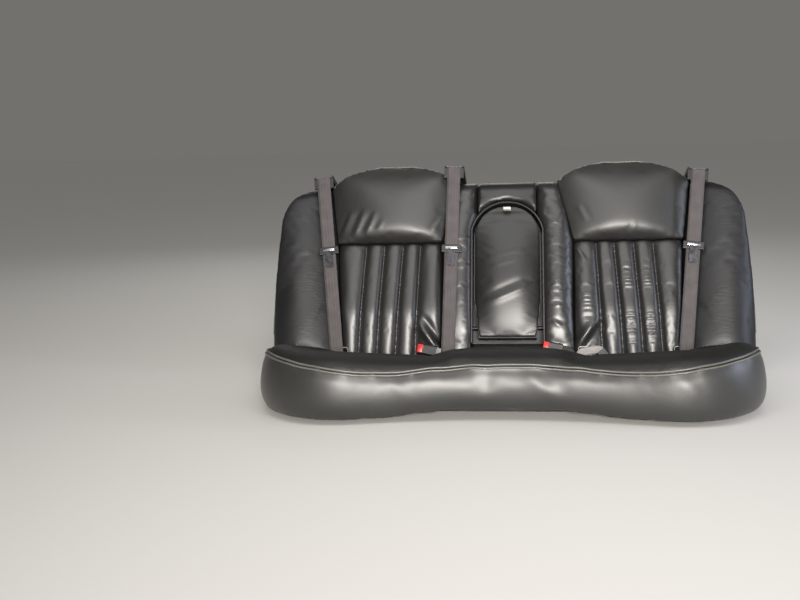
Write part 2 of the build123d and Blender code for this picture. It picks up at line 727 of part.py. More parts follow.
def buckle_strap(x, u, lean, reach, droop):
    """Flat strap that comes up out of the bight and turns aside."""
    width, t = STRAP_SIZE
    across, through = (-width / 2, width / 2), (-t / 2, t / 2)
    elbow = Cylinder(width / 2, t)
    upright = Pos(x, u, BUCKLE_W) * (box(across, (-100, 0), through) + elbow)
    stretch = strap_elbow(x, u, lean) * box(across, (0, reach), through)
    tail = elbow + box(across, (0, STRAP_TAIL), through)
    past_end = box((-width, width), (STRAP_TAIL, STRAP_TAIL + width), (-t, t))
    bend = strap_bend(x, u, lean, reach, droop)
    return upright + stretch + bend * tail - bend * past_end


def buckle(*row):
    w, length, t = BUCKLE_SIZE
    slot_w, slot_l, slot_t = BUCKLE_SLOT
    end = STRAP_TAIL + length
    body = fillet((Pos(0, STRAP_TAIL + length / 2, 0) * Box(w, length, t)).edges().filter_by(Axis.Y), 6)
    body = body - button_box(end, 0.2)
    body = body - box((-slot_w / 2, slot_w / 2), (end - slot_l, end + 1), (-slot_t - 1.8, -1.8))
    return strap_bend(*row) * body


def button_box(end, grow=0.0):
    w, t = BUCKLE_SIZE[0], BUCKLE_SIZE[2]
    half = w / 2 - 5 + grow
    return box((-half, half), (end - 14 - grow, end + 1.5 + grow), (-0.5 - grow, t / 2 - 2 + grow))


def buckle_button(*row):
    return strap_bend(*row) * button_box(STRAP_TAIL + BUCKLE_SIZE[1])


def child_anchor(x):
    """Wire loop for a child seat's hooks, standing in the bight."""
    w, top = CHILD_W, CHILD_TOP_U
    foot = u_at(w, PAD_BOTTOM_Z) - 4
    points = [(x - CHILD_HALF, foot, w), (x - CHILD_HALF, top, w), (x + CHILD_HALF, top, w), (x + CHILD_HALF, foot, w)]
    path = FilletPolyline(*points, radius=7)
    return sweep(Plane(origin=points[0], z_dir=path % 0) * Circle(CHILD_WIRE_R), path=path)


def joined(shapes):
    """Several solids that only touch, or stand apart, as one shape."""
    return Compound(children=[solid for shape in shapes for solid in shape.solids()])


def placed(shape, floor=PAD_FLOOR_Z):
    """The same shape where it stands in the seat, cut level at its foot."""
    return joined(above(BACK * solid, floor) for solid in shape.solids())


def pair(name, shape):
    """A piece and its mirror image."""
    save(f"{name}_right", shape)
    save(f"{name}_left", mirrored(shape))


def main():
    save("base_frame", base_frame())
    save("foot_plates", foot_plates())
    save("seat_pan", seat_pan())
    save("cushion_nose", cushion_nose())
    save("cushion_middle", cushion_middle())
    save("cushion_skirt", cushion_skirt())
    pair("cushion_side", cushion_side())
    pair("cushion_flutes", cushion_flutes())

    save("back_board", placed(back_board()))
    save("back_frame", placed(back_frame(), FOOT_T + TUBE))
    save("crest_pad", placed(crest_pad()))
    save("sill_pad", placed(sill_pad()))
    save("armrest_well", placed(armrest_well()))
    pair("head_pad", placed(head_pad()))
    pair("back_flutes", placed(flute_pad()))
    pair("wing", placed(wing()))
    pair("inner_bolster", placed(inner_bolster()))

    save("armrest_core", placed(armrest_core()))
    save("armrest_pad", placed(armrest_pad()))
    save("armrest_pin", placed(armrest_pin()))
    save("armrest_pull", placed(armrest_pull()))

    for name, *line in BELTS:
        save(f"belt_{name}", placed(belt(*line), BELT_FOOT_Z))
        save(f"tongue_{name}", placed(tongue(*line)))
    save("belt_stops", placed(joined(belt_stop(*line) for _, *line in BELTS)))
    save("belt_guides", placed(joined(belt_guide(*line) for _, *line in BELTS)))
    save("retractors", placed(joined(retractor(*line) for _, *line in BELTS)))
    save("belt_anchors", placed(joined(belt_anchor(*line) for _, *line in BELTS), PAD_BOTTOM_Z))
    save("buckles", placed(joined(buckle(*row) for row in BUCKLES)))
    save("buckle_buttons", placed(joined(buckle_button(*row) for row in BUCKLES)))
    save("buckle_straps", placed(joined(buckle_strap(*row) for row in BUCKLES), PAD_BOTTOM_Z))
    loops = [sx * x for x in CHILD_ANCHOR_X for sx in (-1, 1)]
    save("child_anchors", placed(joined(child_anchor(x) for x in loops), PAD_BOTTOM_Z))


main()
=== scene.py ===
import json
import math
from contextlib import contextmanager

import bmesh
import bpy
import numpy as np
from mathutils import Matrix, Vector
from mathutils.bvhtree import BVHTree
from mathutils.kdtree import KDTree


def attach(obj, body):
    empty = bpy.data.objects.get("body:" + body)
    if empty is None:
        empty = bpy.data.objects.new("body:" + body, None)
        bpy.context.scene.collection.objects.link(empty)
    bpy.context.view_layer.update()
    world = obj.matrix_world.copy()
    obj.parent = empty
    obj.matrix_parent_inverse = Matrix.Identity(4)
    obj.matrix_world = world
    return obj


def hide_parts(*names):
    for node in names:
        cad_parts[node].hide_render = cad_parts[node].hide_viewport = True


# Rear bench seat of a stretched saloon, in metres. X runs across, -Y is the way a passenger faces.
# The back has its own coordinates: x across, u up the slope from the bight, w out of the closing board.

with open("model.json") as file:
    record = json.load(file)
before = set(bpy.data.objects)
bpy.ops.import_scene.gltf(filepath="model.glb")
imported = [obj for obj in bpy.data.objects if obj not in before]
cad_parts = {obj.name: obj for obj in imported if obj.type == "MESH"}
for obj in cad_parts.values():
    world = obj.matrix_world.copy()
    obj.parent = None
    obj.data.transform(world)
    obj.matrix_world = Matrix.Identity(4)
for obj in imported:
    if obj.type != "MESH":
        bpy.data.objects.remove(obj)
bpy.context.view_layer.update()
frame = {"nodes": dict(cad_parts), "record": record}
seat_nodes = frame["nodes"]

MM = 0.001

# Driving dimensions of the seat
BACK_LEAN = math.radians(22)
BIGHT_Y = 0.150
BIGHT_Z = 0.081
FACE_W = 0.090
HEAD_U = 0.341  # the seam between flutes and head pad
# x of the flutes' seams at the bight and at the head pad
FLUTES_LOW = (0.200, 0.284, 0.345, 0.403, 0.460, 0.512)
FLUTES_HIGH = (0.202, 0.271, 0.325, 0.384, 0.442, 0.535)

# Belts: webbing from the bight over the back's top edge down to the retractor
WEBBING_HALF = 20.5 * MM
WEBBING_T = 1.4 * MM
WEBBING_COLUMNS = 6
BELT_W0 = 112 * MM  # at the bight
BELT_W1 = 128 * MM  # at the guide
BELT_FOOT_Z = 30 * MM
BELT_REAR_W = -42 * MM
BELT_BEND_R = 9 * MM
BELT_STEP = 12 * MM
RETRACTOR_DROP = 96 * MM
RETRACTOR_LEAN = 6 * MM
# name, x at the bight, x at the top, length of the front run above the bight
BELTS = (
    ("left", -524 * MM, -582 * MM, 556 * MM),
    ("middle", -180 * MM, -164 * MM, 579 * MM),
    ("right", 524 * MM, 582 * MM, 556 * MM),
)
TONGUE_S = 311 * MM  # the sleeve's place along the belt
SLEEVE = (62 * MM, 24 * MM, 8.6 * MM)
SLEEVE_SLOT = (49 * MM, 2.6 * MM)
BLADE = (24 * MM, 42 * MM, 2.4 * MM)
BLADE_ROOT = 8 * MM  # how far the blade reaches into the sleeve
LATCH_WINDOW = (6 * MM, 10 * MM, 22 * MM)  # half width, and its two ends from the blade's tip
BAR = (38 * MM, 7 * MM, 2.6 * MM)
BAR_RISE = 2 * MM
BAR_EDGE = 1.1 * MM
# x and u of the strap's elbow, its lean in degrees, reach to its second bend, the buckle's own lean
BUCKLES = (
    (-190 * MM, -15 * MM, 79, 21 * MM, 79),
    (189 * MM, -9 * MM, 79, 21 * MM, 79),
    (214 * MM, -13 * MM, -81, 58 * MM, -140),
)
BUCKLE_W = 108 * MM
BUCKLE_END = 62 * MM  # from the second bend to the buckle's mouth
BUTTON = (26 * MM, 17 * MM, 15 * MM)
BUTTON_PROUD = 1.8 * MM
BUTTON_RISE = 1.6 * MM
BUTTON_EDGE = 1.6 * MM
STRAP_TAIL = 6 * MM
STRAP_HALF = 12 * MM
STRAP_T = 2 * MM
STRAP_BELOW = 75 * MM  # how deep the strap goes into the bight
STRAP_BEND_R = 13 * MM
STRAP_STEP = 5 * MM
ARCH_CENTRE_U = 356.5 * MM  # centre and radius of the arch over the armrest
ARCH_R = 115 * MM

# Camera: where the photograph was taken from, for an image of 800 by 600
EYE = (0.0487, -2.8204, 0.7163)
EYE_YAW = math.radians(7.17)
EYE_PITCH = math.radians(9.13)
EYE_ROLL = math.radians(-1.67)
FOCAL_PX = 994.72
IMAGE_W = 800
SENSOR_MM = 36.0


def back_matrix():
    """Turns x, u, w of the back into the seat's frame."""
    s, c = math.sin(BACK_LEAN), math.cos(BACK_LEAN)
    return Matrix((
        (1, 0, 0, 0),
        (0, s, -c, BIGHT_Y + FACE_W * c),
        (0, c, s, BIGHT_Z - FACE_W * s),
        (0, 0, 0, 1),
    ))


def out_of(matrix):
    """Where a pad's own z axis points."""
    return matrix.to_3x3() @ Vector((0, 0, 1))


BACK = back_matrix()
UPRIGHT = Matrix.Identity(4)
FRONT = Matrix(((1, 0, 0, 0), (0, 0, -1, 0), (0, 1, 0, 0), (0, 0, 0, 1)))  # x, z and -y of the seat


# Meshes

def new_object(name, mesh):
    obj = bpy.data.objects.new(name, mesh)
    bpy.context.scene.collection.objects.link(obj)
    return obj


def settle(piece):
    """Makes what a piece's modifiers give its own mesh."""
    graph = bpy.context.evaluated_depsgraph_get()
    mesh = bpy.data.meshes.new_from_object(piece.evaluated_get(graph))
    piece.modifiers.clear()
    piece.data = mesh
    return piece


def smooth_faces(mesh):
    mesh.polygons.foreach_set("use_smooth", [True] * len(mesh.polygons))
    mesh.update()


def get_points(mesh):
    flat = np.empty(3 * len(mesh.vertices))
    mesh.vertices.foreach_get("co", flat)
    return flat.reshape(-1, 3)


def set_points(mesh, points):
    mesh.vertices.foreach_set("co", points.ravel())
    mesh.update()


def get_normals(mesh):
    flat = np.empty(3 * len(mesh.vertices))
    mesh.vertex_normals.foreach_get("vector", flat)
    return flat.reshape(-1, 3)


def in_frame(points, matrix):
    """Points in a pad's own coordinates."""
    turn = np.array(matrix.inverted())
    return points @ turn[:3, :3].T + turn[:3, 3]


def ease(share):
    share = np.clip(share, 0.0, 1.0)
    return share * share * (3 - 2 * share)


def between(low, high, share):
    return low + (high - low) * share


def smoothed(values, times):
    """Numbers or places along a line, evened out between its two ends."""
    for _ in range(times):
        inner = [(a + b * 2 + c) / 4 for a, b, c in zip(values, values[1:], values[2:])]
        values = [values[0]] + inner + [values[-1]]
    return values


def end_piece(name, bm, matrix=None):
    """Turns a bmesh into an object whose faces point outwards, placed in its mesh."""
    bmesh.ops.recalc_face_normals(bm, faces=bm.faces)
    if matrix is not None:
        bm.transform(matrix)
    mesh = bpy.data.meshes.new(name)
    bm.to_mesh(mesh)
    bm.free()
    return new_object(name, mesh)


@contextmanager
def editing(mesh):
    """Opens a mesh as a bmesh, and writes it back."""
    bm = bmesh.new()
    bm.from_mesh(mesh)
    yield bm
    bm.to_mesh(mesh)
    bm.free()


def round_edges(bm, edges, offset, segments):
    bmesh.ops.bevel(
        bm, geom=edges, offset=offset, segments=segments, profile=0.5, affect="EDGES", material=-1)


def even_copy(name, node, voxel):
    """Copy of a CAD pad with its surface in even quads."""
    mesh = seat_nodes[node].data.copy()
    mesh.materials.clear()
    with editing(mesh) as bm:
        bmesh.ops.remove_doubles(bm, verts=bm.verts, dist=1e-5)
    piece = new_object(name, mesh)
    remesh = piece.modifiers.new("even", "REMESH")
    remesh.mode = "VOXEL"
    remesh.voxel_size = voxel
    return settle(piece)


def cut_open(piece, point, normal):
    """Takes off what lies behind a plane, where the pad is glued to its board."""
    with editing(piece.data) as bm:
        everything = bm.verts[:] + bm.edges[:] + bm.faces[:]
        bmesh.ops.bisect_plane(
            bm, geom=everything, dist=1e-6, plane_co=point, plane_no=normal, clear_inner=True)


def close_up(piece):
    """Fills the opening again with one flat face."""
    with editing(piece.data) as bm:
        rim = [edge for edge in bm.edges if edge.is_boundary]
        if rim:
            bmesh.ops.holes_fill(bm, edges=rim, sides=0)


def subdivide(piece):
    subsurf = piece.modifiers.new("smooth", "SUBSURF")
    subsurf.levels = 1
    subsurf.render_levels = 1
    return settle(piece)


def relax(piece, times, held=None):
    """Smooths the points that aren't held and aren't on an open rim."""
    with editing(piece.data) as bm:
        loose = [vert for vert in bm.verts
                 if not vert.is_boundary and (held is None or not held[vert.index])]
        for _ in range(times):
            bmesh.ops.smooth_vert(
                bm, verts=loose, factor=0.5, use_axis_x=True, use_axis_y=True, use_axis_z=True)


# Pads: an even copy of each solid, opened where it is glued, swollen as a cover over foam, closed again

SWELL_FRAMES = 20
# upholstery leather, pressed out by the foam under it
COVER_CLOTH = {
    "quality": 4,
    "mass": 0.3,
    "tension_stiffness": 30,
    "compression_stiffness": 30,
    "shear_stiffness": 15,
    "tension_damping": 15,
    "compression_damping": 15,
    "shear_damping": 15,
    "use_pressure": True,
    "uniform_pressure_force": 4.0,
}
GLUED_W = 6 * MM  # the back's pads are opened here, just in front of the board
GLUED_Z = 32 * MM  # the cushion's pads are opened here, just above the pan
ARM_GLUED_W = 73 * MM  # the armrest's pad is opened here, on its core
FLUTES = 5
FLUTE_DEPTH = 15 * MM
FLUTE_FOOT_U = -50 * MM
FLUTE_TOP_GAP = 4 * MM  # the flutes stop this far short of the head pad
FLUTE_FADE = 30 * MM
FLUTE_STEP = 8 * MM
CHANNEL_HALF = 4.5 * MM
CHANNEL_DEPTH = 2.6 * MM
CHANNEL_WIDTH = 4.2 * MM
FREE_LEAN = 0.25  # a point whose normal leans further from the pad's front than this is sewn down
PLAN_CENTRE = Vector((0, -0.05, 0))

# name, voxel in mm, rounds of smoothing, most that a point moves in mm, extra leather as a share,
# bending stiffness
BACK_PADS = (
    ("head_pad_left", 6.0, 60, 6.0, 0.0015, 8.0),
    ("head_pad_right", 6.0, 60, 6.0, 0.0012, 8.0),
    ("wing_left", 7.2, 30, 6.0, 0.0018, 6.0),
    ("wing_right", 7.2, 30, 6.0, 0.0018, 6.0),
    ("back_flutes_left", 5.3, 16, 5.0, 0.0010, 6.0),
    ("back_flutes_right", 5.3, 16, 5.0, 0.0025, 3.0),
    ("inner_bolster_left", 5.5, 18, 5.0, 0.0030, 4.0),
    ("inner_bolster_right", 5.5, 18, 5.0, 0.0050, 3.0),
    ("crest_pad", 5.5, 6, 4.0, 0.0010, 8.0),
    ("sill_pad", 6.0, 4, 4.0, 0.0020, 6.0),
)
ARM_PADS = (
    ("armrest_pad", 5.0, 60, 6.0, 0.0012, 8.0),
)
CUSHION_PADS = (
    ("cushion_middle", 9.0, 5, 6.0, 0.0030, 6.0),
    ("cushion_flutes_left", 7.2, 2, 6.0, 0.0030, 4.0),
    ("cushion_flutes_right", 7.2, 2, 6.0, 0.0030, 4.0),
    ("cushion_side_left", 8.0, 5, 5.0, 0.0020, 6.0),
    ("cushion_side_right", 8.0, 5, 5.0, 0.0020, 6.0),
    ("cushion_nose", 8.0, 6, 6.0, 0.0012, 12.0),
)
SKIRT = ("cushion_skirt", 7.6, 7, 6.0, 0.0006, 30.0)
SKIRT_CROWN = 14 * MM
CROWN_AT = 0.38  # where the skirt stands out most, as a share of its height
SKIRT_LOW_Z = 8 * MM
SKIRT_ARCH = (310 * MM, 22 * MM)  # half width and rise of the arch in its lower edge
OUTLINE_RAYS = 180  # on each side of straight ahead, from the plan's centre
OUTLINE_STEP = 0.69  # degrees
OUTLINE_Z = 90 * MM
OUTLINE_FAR = 1.5  # the rays start this far out
OUTLINE_NEAR = 0.2  # and what they meet nearer than this is no outer face
OUTLINE_IN = 25 * MM  # where the skirt's top is measured, from its outer face
OUTLINE_DROP = 5 * MM  # where its outer face is measured, from its top
TUCK_DEPTH = 3 * MM
TUCK_WIDTH = 7 * MM
TUCK_BELOW = 9 * MM  # from the skirt's top to the valley's bottom

# Folds that the photograph shows: pad, x and u of each end in mm, width and height in mm
FOLDS = (
    ("head_pad_left", (-518, 366), (-488, 440), 8, 3.0),
    ("head_pad_left", (-482, 356), (-447, 438), 8, 3.2),
    ("head_pad_left", (-442, 364), (-410, 432), 7, 2.6),
    ("head_pad_left", (-405, 372), (-384, 410), 6, 1.2),
    ("head_pad_left", (-232, 374), (-200, 412), 7, 2.2),
    ("head_pad_right", (368, 335), (388, 382), 5, 2.2),
    ("head_pad_right", (218, 445), (244, 392), 7, 1.4),
    ("back_flutes_left", (-281, 92), (-204, -12), 12, 9.0),
    ("back_flutes_left", (-235, 325), (-204, 336), 6, 1.2),
    ("back_flutes_right", (272, 96), (196, -8), 12, 8.0),
    ("back_flutes_right", (203, 334), (238, 272), 6, 2.4),
    ("armrest_pad", (-66, 282), (66, 318), 10, 1.3),
    ("armrest_pad", (-50, 262), (38, 286), 9, 1.2),
    ("armrest_pad", (-60, 146), (84, 206), 12, 3.0),
    ("inner_bolster_right", (112, 338), (140, 335), 5, 1.8),
    ("inner_bolster_right", (114, 286), (140, 284), 5, 1.8),
    ("inner_bolster_right", (134, 134), (162, 132), 5, 2.2),
    ("inner_bolster_right", (134, 84), (162, 66), 6, 2.4),
    ("inner_bolster_right", (105, 428), (158, 392), 5, 1.4),
    ("inner_bolster_left", (-164, 350), (-112, 350), 5, 1.4),
    ("inner_bolster_left", (-164, 258), (-112, 261), 5, 1.6),
)
# The same on the skirt, by x and z
SKIRT_FOLDS = (
    ((50, 131), (138, 58), 16, 2.0),
    ((-90, 140), (-30, 118), 10, 1.2),
    ((250, 134), (330, 118), 12, 1.4),
    ((-300, 128), (-240, 60), 14, 1.0),
    ((420, 132), (470, 70), 14, 1.2),
)
# Ladder creases across a flute: pad, flute number, and in mm the lowest and highest u, spacing, height
LADDERS = (
    ("back_flutes_right", 2, 0, 120, 13, 1.6),
    ("back_flutes_right", 2, 172, 268, 14, 1.1),
    ("back_flutes_right", 3, 8, 118, 13, 1.8),
    ("back_flutes_right", 3, 180, 262, 15, 0.9),
    ("back_flutes_right", 0, 70, 190, 17, 1.2),
)
LADDER_HALF = 11 * MM
LADDER_FADE = 20 * MM


def flute_line(number, u):
    """x of a sewn channel of the back at a height."""
    return between(FLUTES_LOW[number], FLUTES_HIGH[number], u / HEAD_U)


def flute_middle(number, u):
    return (flute_line(number, u) + flute_line(number + 1, u)) / 2


def sewn_points(piece, matrix):
    """What is sewn or glued: walls that face a neighbour, and channels."""
    points = in_frame(get_points(piece.data), matrix)
    held = get_normals(piece.data) @ np.array(out_of(matrix)) < FREE_LEAN
    if "flutes" in piece.name:
        u = points[:, 1] if piece.name.startswith("back") else 0.0
        for number in range(1, FLUTES):
            held |= np.abs(np.abs(points[:, 0]) - flute_line(number, u)) < CHANNEL_HALF
    return held


def facing_out(mesh):
    """How far each point of the skirt faces away from the seat's middle."""
    away = get_points(mesh) - np.array(PLAN_CENTRE)
    away[:, 2] = 0
    away /= np.linalg.norm(away, axis=1)[:, None]
    return np.einsum("ij,ij->i", get_normals(mesh), away)


def add_cover(piece, held, growth, bending):
    """Leather that is sewn down at its held points, a little larger than the foam under it."""
    group = piece.vertex_groups.new(name="sewn")
    group.add(np.flatnonzero(held).tolist(), 1.0, "REPLACE")
    cover = piece.modifiers.new("cover", "CLOTH")
    for key, value in COVER_CLOTH.items():
        setattr(cover.settings, key, value)
    cover.settings.bending_stiffness = bending
    cover.settings.shrink_min = -growth
    cover.settings.vertex_group_mass = group.name
    cover.settings.effector_weights.gravity = 0.0
    cover.collision_settings.use_collision = False
    cover.point_cache.frame_start = 1
    cover.point_cache.frame_end = SWELL_FRAMES


def swell(covers):
    """Runs all covers at once, and moves each point by what the cloth gave, up to its pad's limit."""
    scene = bpy.context.scene
    for number in range(1, SWELL_FRAMES + 1):
        scene.frame_set(number)
    graph = bpy.context.evaluated_depsgraph_get()
    for piece, limit in covers:
        start = get_points(piece.data)
        step = get_points(piece.evaluated_get(graph).data) - start
        length = np.linalg.norm(step, axis=1)
        step *= np.minimum(1.0, limit / np.maximum(length, 1e-9))[:, None]
        piece.modifiers.clear()
        piece.vertex_groups.clear()
        set_points(piece.data, start + step)
    scene.frame_set(1)


def surface_of(piece):
    return BVHTree.FromObject(piece, bpy.context.evaluated_depsgraph_get())


def top_at(surface, place):
    """The highest point of a surface over or under a place."""
    return surface.ray_cast(Vector((place.x, place.y, 1.0)), Vector((0, 0, -1)))[0]


def skirt_outline(piece):
    """Points round the skirt's outer face at the height of its top."""
    surface = surface_of(piece)
    found = []
    for step in range(-OUTLINE_RAYS, OUTLINE_RAYS + 1):
        angle = math.radians(step * OUTLINE_STEP)
        way = Vector((math.sin(angle), -math.cos(angle), 0))
        start = PLAN_CENTRE + way * OUTLINE_FAR + Vector((0, 0, OUTLINE_Z))
        hit = surface.ray_cast(start, -way)[0]
        if hit is None or (hit - PLAN_CENTRE).dot(way) < OUTLINE_NEAR:
            continue
        top = top_at(surface, hit - way * OUTLINE_IN)
        if top is None:
            continue
        edge = surface.ray_cast(Vector((hit.x, hit.y, top.z - OUTLINE_DROP)) + way * 0.1, -way)[0]
        if edge is not None:
            found.append(Vector((edge.x, edge.y, top.z)))
    return smoothed(found, 6)


def plan_tree(outline):
    tree = KDTree(len(outline))
    for index, place in enumerate(outline):
        tree.insert((place.x, place.y, 0), index)
    tree.balance()
    return tree


def heights_near(points, outline):
    """The skirt's top height beside each point."""
    tree = plan_tree(outline)
    return np.array([outline[tree.find((x, y, 0))[1]].z for x, y, _ in points])


def crown_skirt(piece):
    """Bows the outer face between its two edges."""
    points, normals = get_points(piece.data), get_normals(piece.data)
    half, rise = SKIRT_ARCH
    low = SKIRT_LOW_Z + rise * np.maximum(0.0, 1 - (points[:, 0] / half) ** 2)
    share = (points[:, 2] - low) / (heights_near(points, skirt_outline(piece)) - low)
    side_length = np.where(share > CROWN_AT, 1 - CROWN_AT, CROWN_AT)
    bow = np.maximum(0.0, 1 - ((share - CROWN_AT) / side_length) ** 2)
    bow *= facing_out(piece.data) > FREE_LEAN
    set_points(piece.data, points + normals * (SKIRT_CROWN * bow)[:, None])


RIM_IN = 30 * MM  # where the nose's surface is measured, from the skirt's outer face
RIM_OVER = 5 * MM  # how far the nose's edge stands above the skirt's top
RIM_REACH = 18 * MM  # how far the nose's edge is drawn out over the skirt's top
RIM_WIDTH = 40 * MM
RIM_FADE = 100 * MM
NOSE_LOW_Z = 50 * MM  # the nose's points below this don't rise


def lay_nose_over(piece, outline):
    """Brings the nose's edge up to the skirt's top and out over it, so that the two meet at the welt."""
    tree = plan_tree(outline)
    surface = surface_of(piece)
    lifts = []
    for number, place in enumerate(outline):
        ahead = outline[min(number + 1, len(outline) - 1)] - outline[max(number - 1, 0)]
        inward = Vector((-ahead.y, ahead.x, 0)).normalized()
        hit = top_at(surface, place + inward * RIM_IN)
        lifts.append(0.0 if hit is None else max(0.0, place.z + RIM_OVER - hit.z))
    lifts = smoothed(lifts, 12)
    for vert in piece.data.vertices:
        near, index, distance = tree.find((vert.co.x, vert.co.y, 0))
        if distance > RIM_IN + RIM_FADE:
            continue
        top = outline[index].z
        fade = 1 - ease((distance - RIM_IN) / RIM_FADE)
        vert.co.z += lifts[index] * fade * ease((vert.co.z - NOSE_LOW_Z) / (top - 0.09))
        outward = Vector((near.x - vert.co.x, near.y - vert.co.y, 0)).normalized()
        near_rim = 1 - ease((distance - RIM_IN) / RIM_WIDTH)
        vert.co += outward * (RIM_REACH * near_rim * ease((vert.co.z - top + 16 * MM) / (14 * MM)))


FOLD_RUN_OUT = 0.15  # how far a fold runs past its two ends, as a share of its length
FOLD_FADE = 0.45
VALLEY_AT = 1.8  # in widths of the ridge
VALLEY_SHARE = 0.7
CREASED_W = 40 * MM  # folds lie on what stands out further than this


def crease(piece, matrix, start, end, width, height):
    """A ridge with a valley beside it, from one place to another, all in mm."""
    points, normals = get_points(piece.data), get_normals(piece.data)
    places = in_frame(points, matrix)
    start, end = np.array(start) * MM, np.array(end) * MM
    along = end - start
    length = np.linalg.norm(along)
    side = np.array((-along[1], along[0])) / length
    step = places[:, :2] - start
    share = step @ along / length**2
    across = step @ side / (width * MM)
    fade = ease((share + FOLD_RUN_OUT) / FOLD_FADE) * ease((1 + FOLD_RUN_OUT - share) / FOLD_FADE)
    fade *= places[:, 2] > CREASED_W
    ridge = np.exp(-across**2) - VALLEY_SHARE * np.exp(-((across - VALLEY_AT) ** 2))
    set_points(piece.data, points + normals * (height * MM * fade * ridge)[:, None])


def ladder(piece, number, low, high, spacing, height):
    """Short creases across one flute, as the leather gathers along its seams, all in mm."""
    points, normals = get_points(piece.data), get_normals(piece.data)
    places = in_frame(points, BACK)
    x, u = np.abs(places[:, 0]), places[:, 1]
    # the spacing and the height wander by slow waves along the flute
    uneven = 0.25 * np.sin(u * 91.0) + 0.15 * np.sin(u * 47.0 + number)
    wave = np.sin(2 * math.pi * (u / (spacing * MM) + uneven)) ** 3
    reach = np.exp(-(((x - flute_middle(number, u)) / LADDER_HALF) ** 2))
    ends = ease((u - low * MM) / LADDER_FADE) * ease((high * MM - u) / LADDER_FADE)
    ends *= 0.7 + 0.3 * np.sin(u * 133.0)
    set_points(piece.data, points + normals * (height * MM * wave * reach * ends)[:, None])


CREST_FALL = 6 * MM
CREST_FALL_REACH = 17 * MM
CREST_BACK_W = 60 * MM  # what lies behind this keeps its place
# the armrest pad's fall to its foot and to its head: where it starts in u, its length, depth and power
ARM_FOOT_FALL = (205 * MM, -160 * MM, 15 * MM, 2)
ARM_HEAD_FALL = (220 * MM, 220 * MM, 14 * MM, 1.5)
ARM_BACK_W = 76 * MM
ARM_FADE = 20 * MM


def shape_crest(piece):
    """The crest's lower edge thins towards the arch over the armrest, so it looks down at a sitter."""
    points = get_points(piece.data)
    places = in_frame(points, BACK)
    distance = np.hypot(places[:, 0], places[:, 1] - ARCH_CENTRE_U) - ARCH_R
    fall = CREST_FALL * np.clip(1 - distance / CREST_FALL_REACH, 0, 1) ** 1.3
    fall *= places[:, 2] > CREST_BACK_W
    set_points(piece.data, points - np.array(out_of(BACK)) * fall[:, None])


def shape_armrest(piece):
    """The pad stands out most near the middle of its height and falls back to its foot and its head."""
    points = get_points(piece.data)
    places = in_frame(points, BACK)
    fall = sum(depth * np.clip((places[:, 1] - start) / length, 0, 1) ** power
               for start, length, depth, power in (ARM_FOOT_FALL, ARM_HEAD_FALL))
    fall *= ease((places[:, 2] - ARM_BACK_W) / ARM_FADE)
    set_points(piece.data, points - np.array(out_of(BACK)) * fall[:, None])


def square_flutes(piece):
    """Broad flutes with steep sides, as foam rolls press against each other."""
    surface = surface_of(piece)
    points, normals = get_points(piece.data), get_normals(piece.data)
    sign = np.sign(points[:, 0].sum())
    places = in_frame(points, BACK)
    front = out_of(BACK)
    steps = np.arange(FLUTE_FOOT_U, HEAD_U - FLUTE_TOP_GAP, FLUTE_STEP)
    x, u, w = np.abs(places[:, 0]), places[:, 1], places[:, 2]
    moved = np.zeros(len(points))
    for number in range(FLUTES):
        crest = []
        for step in steps:
            start = BACK @ Vector((sign * flute_middle(number, step), step, 0.4))
            hit = surface.ray_cast(start, -front)[0]
            crest.append(FACE_W if hit is None else (BACK.inverted() @ hit).z)
        low, high = flute_line(number, u), flute_line(number + 1, u)
        share = np.abs(2 * (x - low) / (high - low) - 1)
        wanted = np.interp(u, steps, smoothed(crest, 4)) - FLUTE_DEPTH * share**4
        moved += np.where(share < 1, wanted - w, 0)
    ends = ease((HEAD_U - FLUTE_TOP_GAP - u) / FLUTE_FADE) * ease((u - FLUTE_FOOT_U) / FLUTE_FADE)
    facing = ease((normals @ np.array(front) - 0.15) / 0.4)
    set_points(piece.data, points + np.array(front) * (moved * ends * facing)[:, None])


def cut_channels(piece, matrix, sloped):
    """Sewn channels between flutes, as narrow valleys."""
    points, normals = get_points(piece.data), get_normals(piece.data)
    places = in_frame(points, matrix)
    x = np.abs(places[:, 0])
    depth = np.zeros(len(points))
    for number in range(1, FLUTES):
        line = flute_line(number, places[:, 1] if sloped else 0.0)
        depth += CHANNEL_DEPTH * np.exp(-(((x - line) / CHANNEL_WIDTH) ** 2))
    out = np.array(out_of(matrix))
    depth *= normals @ out > FREE_LEAN
    set_points(piece.data, points - out * depth[:, None])


def make_pads():
    """The pads by name, and what the cloth needs to know of each."""
    made, covers = {}, []
    for table, body, matrix, point in (
        (BACK_PADS, "seat", BACK, BACK @ Vector((0, 0, GLUED_W))),
        (ARM_PADS, "armrest", BACK, BACK @ Vector((0, 0, ARM_GLUED_W))),
        (CUSHION_PADS, "seat", UPRIGHT, Vector((0, 0, GLUED_Z))),
        ((SKIRT,), "seat", None, None),
    ):
        for name, voxel, rounds, limit, growth, bending in table:
            piece = even_copy(f"{name}_cover", name, voxel * MM)
            if matrix is None:
                relax(piece, 4)
                crown_skirt(piece)
                held = facing_out(piece.data) < FREE_LEAN
            else:
                cut_open(piece, point, out_of(matrix))
                held = sewn_points(piece, matrix)
            relax(piece, 4 if "flutes" in name else 2)
            relax(piece, rounds, held)
            made[name] = piece
            covers.append((piece, held, limit * MM, growth, bending))
            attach(piece, body)
            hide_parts(name)
    return made, covers


def tuck_skirt(piece, outline):
    """A shallow valley under the welt, where the skirt's leather turns into the seam."""
    points, normals = get_points(piece.data), get_normals(piece.data)
    below = heights_near(points, outline) - points[:, 2]
    depth = TUCK_DEPTH * np.exp(-(((below - TUCK_BELOW) / TUCK_WIDTH) ** 2))
    depth *= ease((facing_out(piece.data) - 0.2) / 0.5)
    set_points(piece.data, points - normals * depth[:, None])


